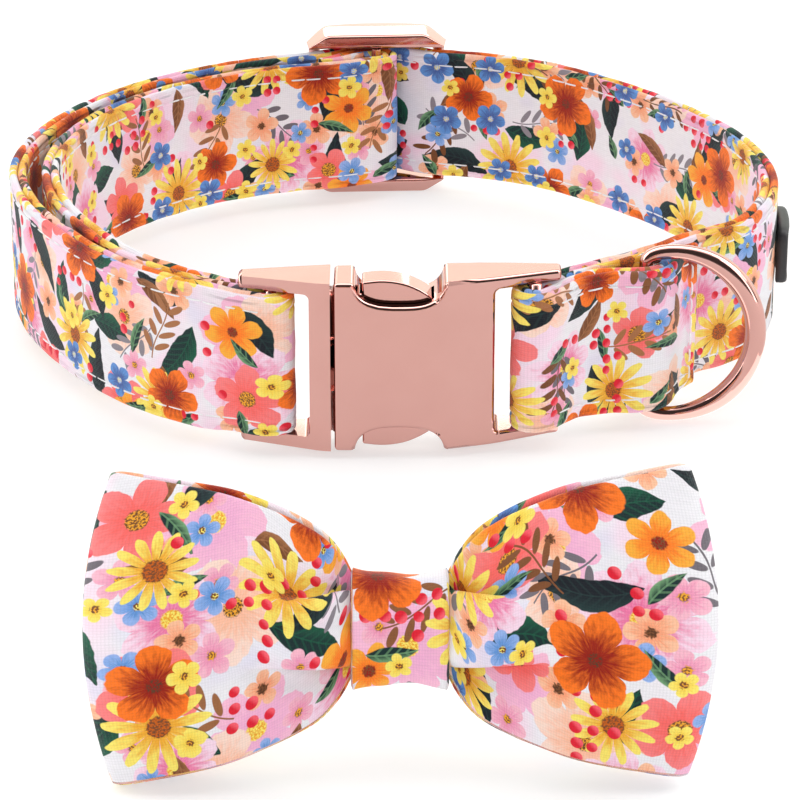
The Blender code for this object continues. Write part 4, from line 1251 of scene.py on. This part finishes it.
def female_half():
    start = -BUCKLE_LENGTH / 2 + MALE_LENGTH + SLIT
    end = BUCKLE_LENGTH / 2
    window = FEMALE_BAR.x - BAR_TO_STRAP - HALF_STRAP - FOLD_GAP
    front, rear = core_faces()
    core_half = BUCKLE_HEIGHT / 2 - BODY_END_WALL
    core = box_mesh("core", (start - SLIT, front, MIDDLE_Z - core_half),
                    (start + WING_REACH, rear, MIDDLE_Z + core_half))
    bar = rod_mesh("female_bar", FEMALE_BAR, BAR_RADIUS, FOLD_WIDTH / 2 + 2 * WINDOW_CLEARANCE)
    tools = [window_cut(window, end + 2 * BAR_RADIUS, -1), core, scoop_cut(1), scoop_cut(-1)]
    body = cut_from(buckle_block("female", start, end, 22), tools)
    metal_piece("female_half_fine", "buckle_female_half", body, on_face=on_buckle_face, shells=(bar,))


def release_wing(name, node, sign):
    start = -BUCKLE_LENGTH / 2 + MALE_LENGTH + TOUCH_GAP
    button = start + SLIT + POST_LENGTH + TOUCH_GAP
    end = -BUCKLE_LENGTH / 2 + MALE_LENGTH + SLIT + WING_REACH - TOUCH_GAP
    under_post = BUCKLE_HEIGHT / 2 - BODY_END_WALL - TOUCH_GAP
    outline = [(start, WING_ROOT), (start, under_post), (button, under_post)]
    for i in range(13):
        share = i / 12
        outline.append((button + (end - button) * share, BUCKLE_HEIGHT * smooth_table(WING_BUTTON, share)))
    outline.append((end, WING_ROOT))
    front, rear = core_faces()
    mesh = extruded(name, [(x, sign * z) for x, z in outline], front + TOUCH_GAP, rear - TOUCH_GAP)
    metal_piece(name, node, mesh, rounding=METAL_EDGE, on_face=on_wing_face)


def eased(rows, place, column=1, reach=0.11):
    return sum(straight_table(rows, place + reach * k / 3, column) for k in range(-3, 4)) / 7


def slider_rail(sign):
    """One rail of the slider, a rounded bar that swells over the strap's rise."""
    start = angle_at_x(SLIDER_BAR.x - SLIDER_LENGTH / 2, 130.0, SLIDER_ANGLE)
    end = angle_at_x(SLIDER_BAR.x + SLIDER_LENGTH / 2, 50.0, SLIDER_ANGLE)
    proud = HALF_STRAP - web_depth(SLIDER_ANGLE)
    tip, shoulder, crown = -TOUCH_GAP - SLIDER_SIDE_BAR, -proud - SLIDER_COVER * 0.4, -proud - SLIDER_COVER
    plan = ((-1.0, tip), (-0.72, shoulder), (-0.25, crown), (0.25, crown), (0.72, shoulder), (1.0, tip))
    normal = inward(SLIDER_ANGLE)
    chord = inside(SLIDER_ANGLE, SLIDER_BAR_DEPTH + BAR_RADIUS - SLIDER_SLIM)
    inner = BAND_WIDTH / 2 + SLIDER_CLEARANCE
    rings = []
    for i in range(49):
        place = -1 + 2 * i / 48
        from_end = (1 - abs(place)) * SLIDER_LENGTH / 2
        corner = from_end / SLIDER_CORNER
        if corner > 0.8:
            corner = 1 - max(1.2 - corner, 0.0) ** 2 / 0.8
        rail = SLIDER_RAIL * (0.12 + 0.88 * corner)
        outer = inside((start + end) / 2 + (end - start) / 2 * place, eased(plan, place))
        back = chord + Vector((-normal.y, normal.x)) * (SLIDER_LENGTH / 2 * place)
        ring = []
        for k in range(36):
            a, b = squared(2 * math.pi * (k + 0.5) / 36, 0.24)
            spot = (outer + back) / 2 + (back - outer) / 2 * a
            ring.append(Vector((spot.x, spot.y, MIDDLE_Z + sign * (inner + rail / 2 + rail / 2 * b))))
        rings.append(ring)
    return lofted("rail", rings)


def slider():
    half = BAND_WIDTH / 2 + SLIDER_CLEARANCE + TOUCH_GAP / 3
    side_radius = SLIDER_SIDE_BAR / 2
    parts = [slider_rail(1), slider_rail(-1), rod_mesh("bar", SLIDER_BAR, BAR_RADIUS, half)]
    for sign, limit in ((-1, 130.0), (1, 50.0)):
        x = SLIDER_BAR.x + sign * (SLIDER_LENGTH / 2 - side_radius * 1.15)
        angle = angle_at_x(x, limit, SLIDER_ANGLE)
        spot = inside(angle, web_depth(angle) - HALF_STRAP - TOUCH_GAP * 1.3 - side_radius)
        parts.append(rod_mesh("side_bar", spot, side_radius, half))
    shape = bmesh.new()
    for mesh in parts:
        shape.from_mesh(mesh)
    whole = bpy.data.meshes.new("slider_fine")
    shape.to_mesh(whole)
    shape.free()
    metal_piece("slider_fine", "slider", whole, rounding=0.0003)


def ring_path():
    """Middle line and wire radius of the D-ring, from its bar round the bow and back."""
    bar = RING_BAR / 2
    top = BAND_WIDTH / 2 + RING_CLEARANCE + bar
    reach = RING_REACH - RING_WIRE / 2
    straight = top - RING_CORNER
    rows = [(0.0, straight * (-1 + 2 * i / 12), bar) for i in range(12)]
    for i in range(10):
        turn = math.pi - math.pi / 2 * i / 10
        rows.append((RING_SHOULDER * (1 + math.cos(turn)), top - RING_CORNER * (1 - math.sin(turn)), bar))
    for i in range(61):
        turn = math.pi / 2 - math.pi * i / 60
        thick = bar + (RING_WIRE - RING_BAR) / 2 * ease(math.cos(turn) * 1.3)
        rows.append((RING_SHOULDER + (reach - RING_SHOULDER) * math.cos(turn), top * math.sin(turn), thick))
    for i in range(1, 10):
        turn = -math.pi / 2 - math.pi / 2 * i / 10
        rows.append((RING_SHOULDER * (1 + math.cos(turn)), RING_CORNER * (1 + math.sin(turn)) - top, bar))
    return rows


def d_ring(sides=32):
    rows = ring_path()
    rings = []
    for i, (x, z, thick) in enumerate(rows):
        ahead, behind = rows[(i + 1) % len(rows)], rows[i - 1]
        run = Vector((ahead[0] - behind[0], 0.0, ahead[1] - behind[1])).normalized()
        out = Vector((run.z, 0.0, -run.x))
        ring = []
        for j in range(sides):
            turn = 2 * math.pi * j / sides
            spoke = out * math.cos(turn) + Vector((0.0, 1.0, 0.0)) * math.sin(turn)
            ring.append(Vector((RING_AXIS.x + x, RING_AXIS.y, MIDDLE_Z + z)) + spoke * thick)
        rings.append(ring)
    metal_piece("d_ring_fine", "d_ring", lofted("d_ring_fine", rings, closed=True), rounding=0.0, body="ring")


male_half()
female_half()
release_wing("wing_top_fine", "release_wing_top", 1)
release_wing("wing_bottom_fine", "release_wing_bottom", -1)
slider()
d_ring()


# Label: from its flat back over a rounded rim to its face; share of the outline, share of the thickness
LABEL_PROFILE = (
    (0.96, 0.0), (1.0, 0.08), (1.0, 0.5), (0.99, 0.72), (0.965, 0.9), (0.93, 0.99), (0.89, 1.0),
    (0.865, 0.93), (0.84, 0.93), (0.6, 0.95), (0.3, 0.95),
)


def rubber_label(sides=72):
    points = []
    length = math.radians(LABEL_SPAN) * LOOP_HALF_WIDTH
    for reach, lift in LABEL_PROFILE:
        inset = (1 - reach) * LABEL_HEIGHT / 2
        for k in range(sides):
            u, v = squared(2 * math.pi * k / sides, 0.3)
            share = u * (1 - 2 * inset / length)
            spot = inside(LABEL_ANGLE + LABEL_SPAN / 2 * share, -TOUCH_GAP - LABEL_THICKNESS * lift)
            points.append(placed(spot.x, spot.y, MIDDLE_Z + (LABEL_HEIGHT / 2 - inset) * v))
    faces = grid_faces(len(LABEL_PROFILE), sides, close_columns=True)
    for start, lift in ((0, LABEL_PROFILE[0][1]), (len(points) - sides, LABEL_PROFILE[-1][1])):
        spot = inside(LABEL_ANGLE, -TOUCH_GAP - LABEL_THICKNESS * lift)
        faces += [(start + k, start + (k + 1) % sides, len(points)) for k in range(sides)]
        points.append(placed(spot.x, spot.y, MIDDLE_Z))
    new_piece("label_fine", new_mesh("label_fine", points, faces), RUBBER, "label")


rubber_label()

# The elastic's ribs and thicker rims, in metres
RIB_PITCH = 0.0011
RIB_HEIGHT = 0.00009
ELASTIC_RIM = 0.00045
ELASTIC_WAVE = 0.0001


def elastic_loop(sides=72, columns=45):
    """Slack loop of ribbed elastic behind the knot."""
    half_depth = BACK_LOOP_OPENING / 2 + BACK_LOOP_CLOTH
    middle = KNOT_HALF_DEPTH + TOUCH_GAP + half_depth
    across = [-1 + 2 * j / (columns - 1) for j in range(columns)]
    rings = []
    for i in range(sides):
        round_y, round_z = squared(2 * math.pi * i / sides, 0.5)
        ring = []
        for sign, inset in ((1, 0.0), (-1, 1.0)):
            for share in across[::sign]:
                rib = RIB_HEIGHT * (1 - math.cos(share * BACK_LOOP_LENGTH / 2 / RIB_PITCH * 2 * math.pi)) / 2
                rim = ELASTIC_RIM * max(0.0, abs(share) - 0.94) / 0.06
                off = inset * BACK_LOOP_CLOTH + sign * (rib + rim)
                ring.append(in_bow(share * BACK_LOOP_LENGTH / 2 + ELASTIC_WAVE * math.sin(round_z * 5),
                                   middle + (half_depth - off) * round_y,
                                   (BACK_LOOP_HALF_HEIGHT - off) * round_z - 2 * KNOT_DROP))
        rings.append(ring)
    mesh = lofted("elastic_loop_fine", rings, closed=True)
    new_piece("elastic_loop_fine", mesh, ELASTIC, "bow_back_loop")


elastic_loop()

# Floor, light, camera
FLOOR_REACH = 3
FLOOR_GLOW = 0.56
COLLAR = (0, 0, 0.02)
LENS_MM = 155.925
SENSOR_MM = 36.0
CAMERA_AWAY = 0.5742
CAMERA_HEIGHT = 0.2340
CAMERA_DOWN = 23.58


def pale_floor():
    net = Net(bpy.data.materials.new("pale_floor"))
    dust = net.noise(net.place(), 14.0, 1.0, flat="3D")
    net.shade({
        "Base Color": net.mix(dust, linear(182, 182, 183), linear(185, 185, 185)), "Roughness": 0.8,
        "Emission Color": (1.0, 1.0, 1.0), "Emission Strength": FLOOR_GLOW,
    })
    corners = [(x * FLOOR_REACH, y * FLOOR_REACH, 0) for x, y in ((-1, -1), (1, -1), (1, 1), (-1, 1))]
    mesh = new_mesh("floor", corners, [(0, 1, 2, 3)], outwards=False)
    mesh.materials.append(net.owner)
    new_object("floor", mesh)


pale_floor()


def soft_light(name, place, aim, width, height, power, reflected=True, lights_cloth=True):
    data = bpy.data.lights.new(name, "AREA")
    data.shape = "RECTANGLE"
    data.size = width
    data.size_y = height
    data.energy = power
    item = new_object(name, data)
    item.location = place
    item.rotation_euler = (Vector(aim) - Vector(place)).to_track_quat("-Z", "Y").to_euler()
    item.visible_glossy = reflected
    item.visible_diffuse = lights_cloth
    item.visible_camera = False


soft_light("front_fill", (0.0, -1.0, 0.55), COLLAR, 0.9, 0.5, 4.6, reflected=False)
soft_light("left", (-0.8, -0.1, 0.55), COLLAR, 0.4, 0.7, 1.6)
soft_light("right", (0.8, 0.0, 0.6), COLLAR, 0.4, 0.7, 1.4)
soft_light("top_strip", (0.0, 0.1, 0.6), (0, 0.1, 0.0), 2.5, 0.35, 8.2, lights_cloth=False)
soft_light("right_strip", (0.9, -0.35, 0.25), COLLAR, 0.25, 1.2, 3.3, lights_cloth=False)
soft_light("left_strip", (-0.9, -0.35, 0.25), COLLAR, 0.25, 1.2, 3.3, lights_cloth=False)
soft_light("ring_card", (SHIFT.x + 0.0525, 0.008, 0.0003), (SHIFT.x + 0.0525, 0.008, 1.0), 0.05, 0.04, 0.0068,
           lights_cloth=False)
soft_light("slider_card", (0.0, 0.30, 0.110), (0, 0.114, 0.032), 0.16, 0.045, 0.07, lights_cloth=False)

# Surroundings that the metal mirrors: place from the horizon behind the collar (0) over the top to
# the horizon in front of it (1), and the light's colour
STOPS = (
    (0.0, 1.35, 1.38, 1.32), (0.06, 1.58, 1.70, 1.52), (0.22, 1.58, 1.70, 1.52), (0.275, 1.5, 1.48, 1.44),
    (0.295, 0.35, 0.35, 0.35), (0.34, 0.30, 0.30, 0.30), (0.37, 1.35, 1.35, 1.35), (0.60, 1.35, 1.35, 1.35),
    (0.65, 0.08, 0.08, 0.08), (0.93, 0.06, 0.06, 0.06), (1.0, 0.30, 0.30, 0.30),
)


def studio():
    net = Net(bpy.data.worlds.new("studio"), "Background")
    _, ahead, up = net.split(net.output("Generated", "ShaderNodeTexCoord"))
    ramp = net.node("ShaderNodeValToRGB", {0: net.math("ARCTAN2", up, ahead) / math.pi})
    stops = ramp.color_ramp.elements
    while len(stops) > 1:
        stops.remove(stops[0])
    for i, (where, *level) in enumerate(STOPS):
        stop = stops[0] if i == 0 else stops.new(where)
        stop.position = where
        stop.color = (*level, 1.0)
    net.shade({"Color": ramp.outputs[0], "Strength": 1.0})
    return net.owner


bpy.context.scene.world = studio()

lens = bpy.data.cameras.new("photo_camera")
lens.sensor_width = SENSOR_MM
lens.lens = LENS_MM
camera = new_object("photo_camera", lens)
camera.location = (SHIFT.x, SHIFT.y - CAMERA_AWAY, CAMERA_HEIGHT)
camera.rotation_euler = (math.radians(90 - CAMERA_DOWN), 0.0, 0.0)
bpy.context.scene.camera = camera
bpy.context.scene.view_settings.view_transform = "Standard"
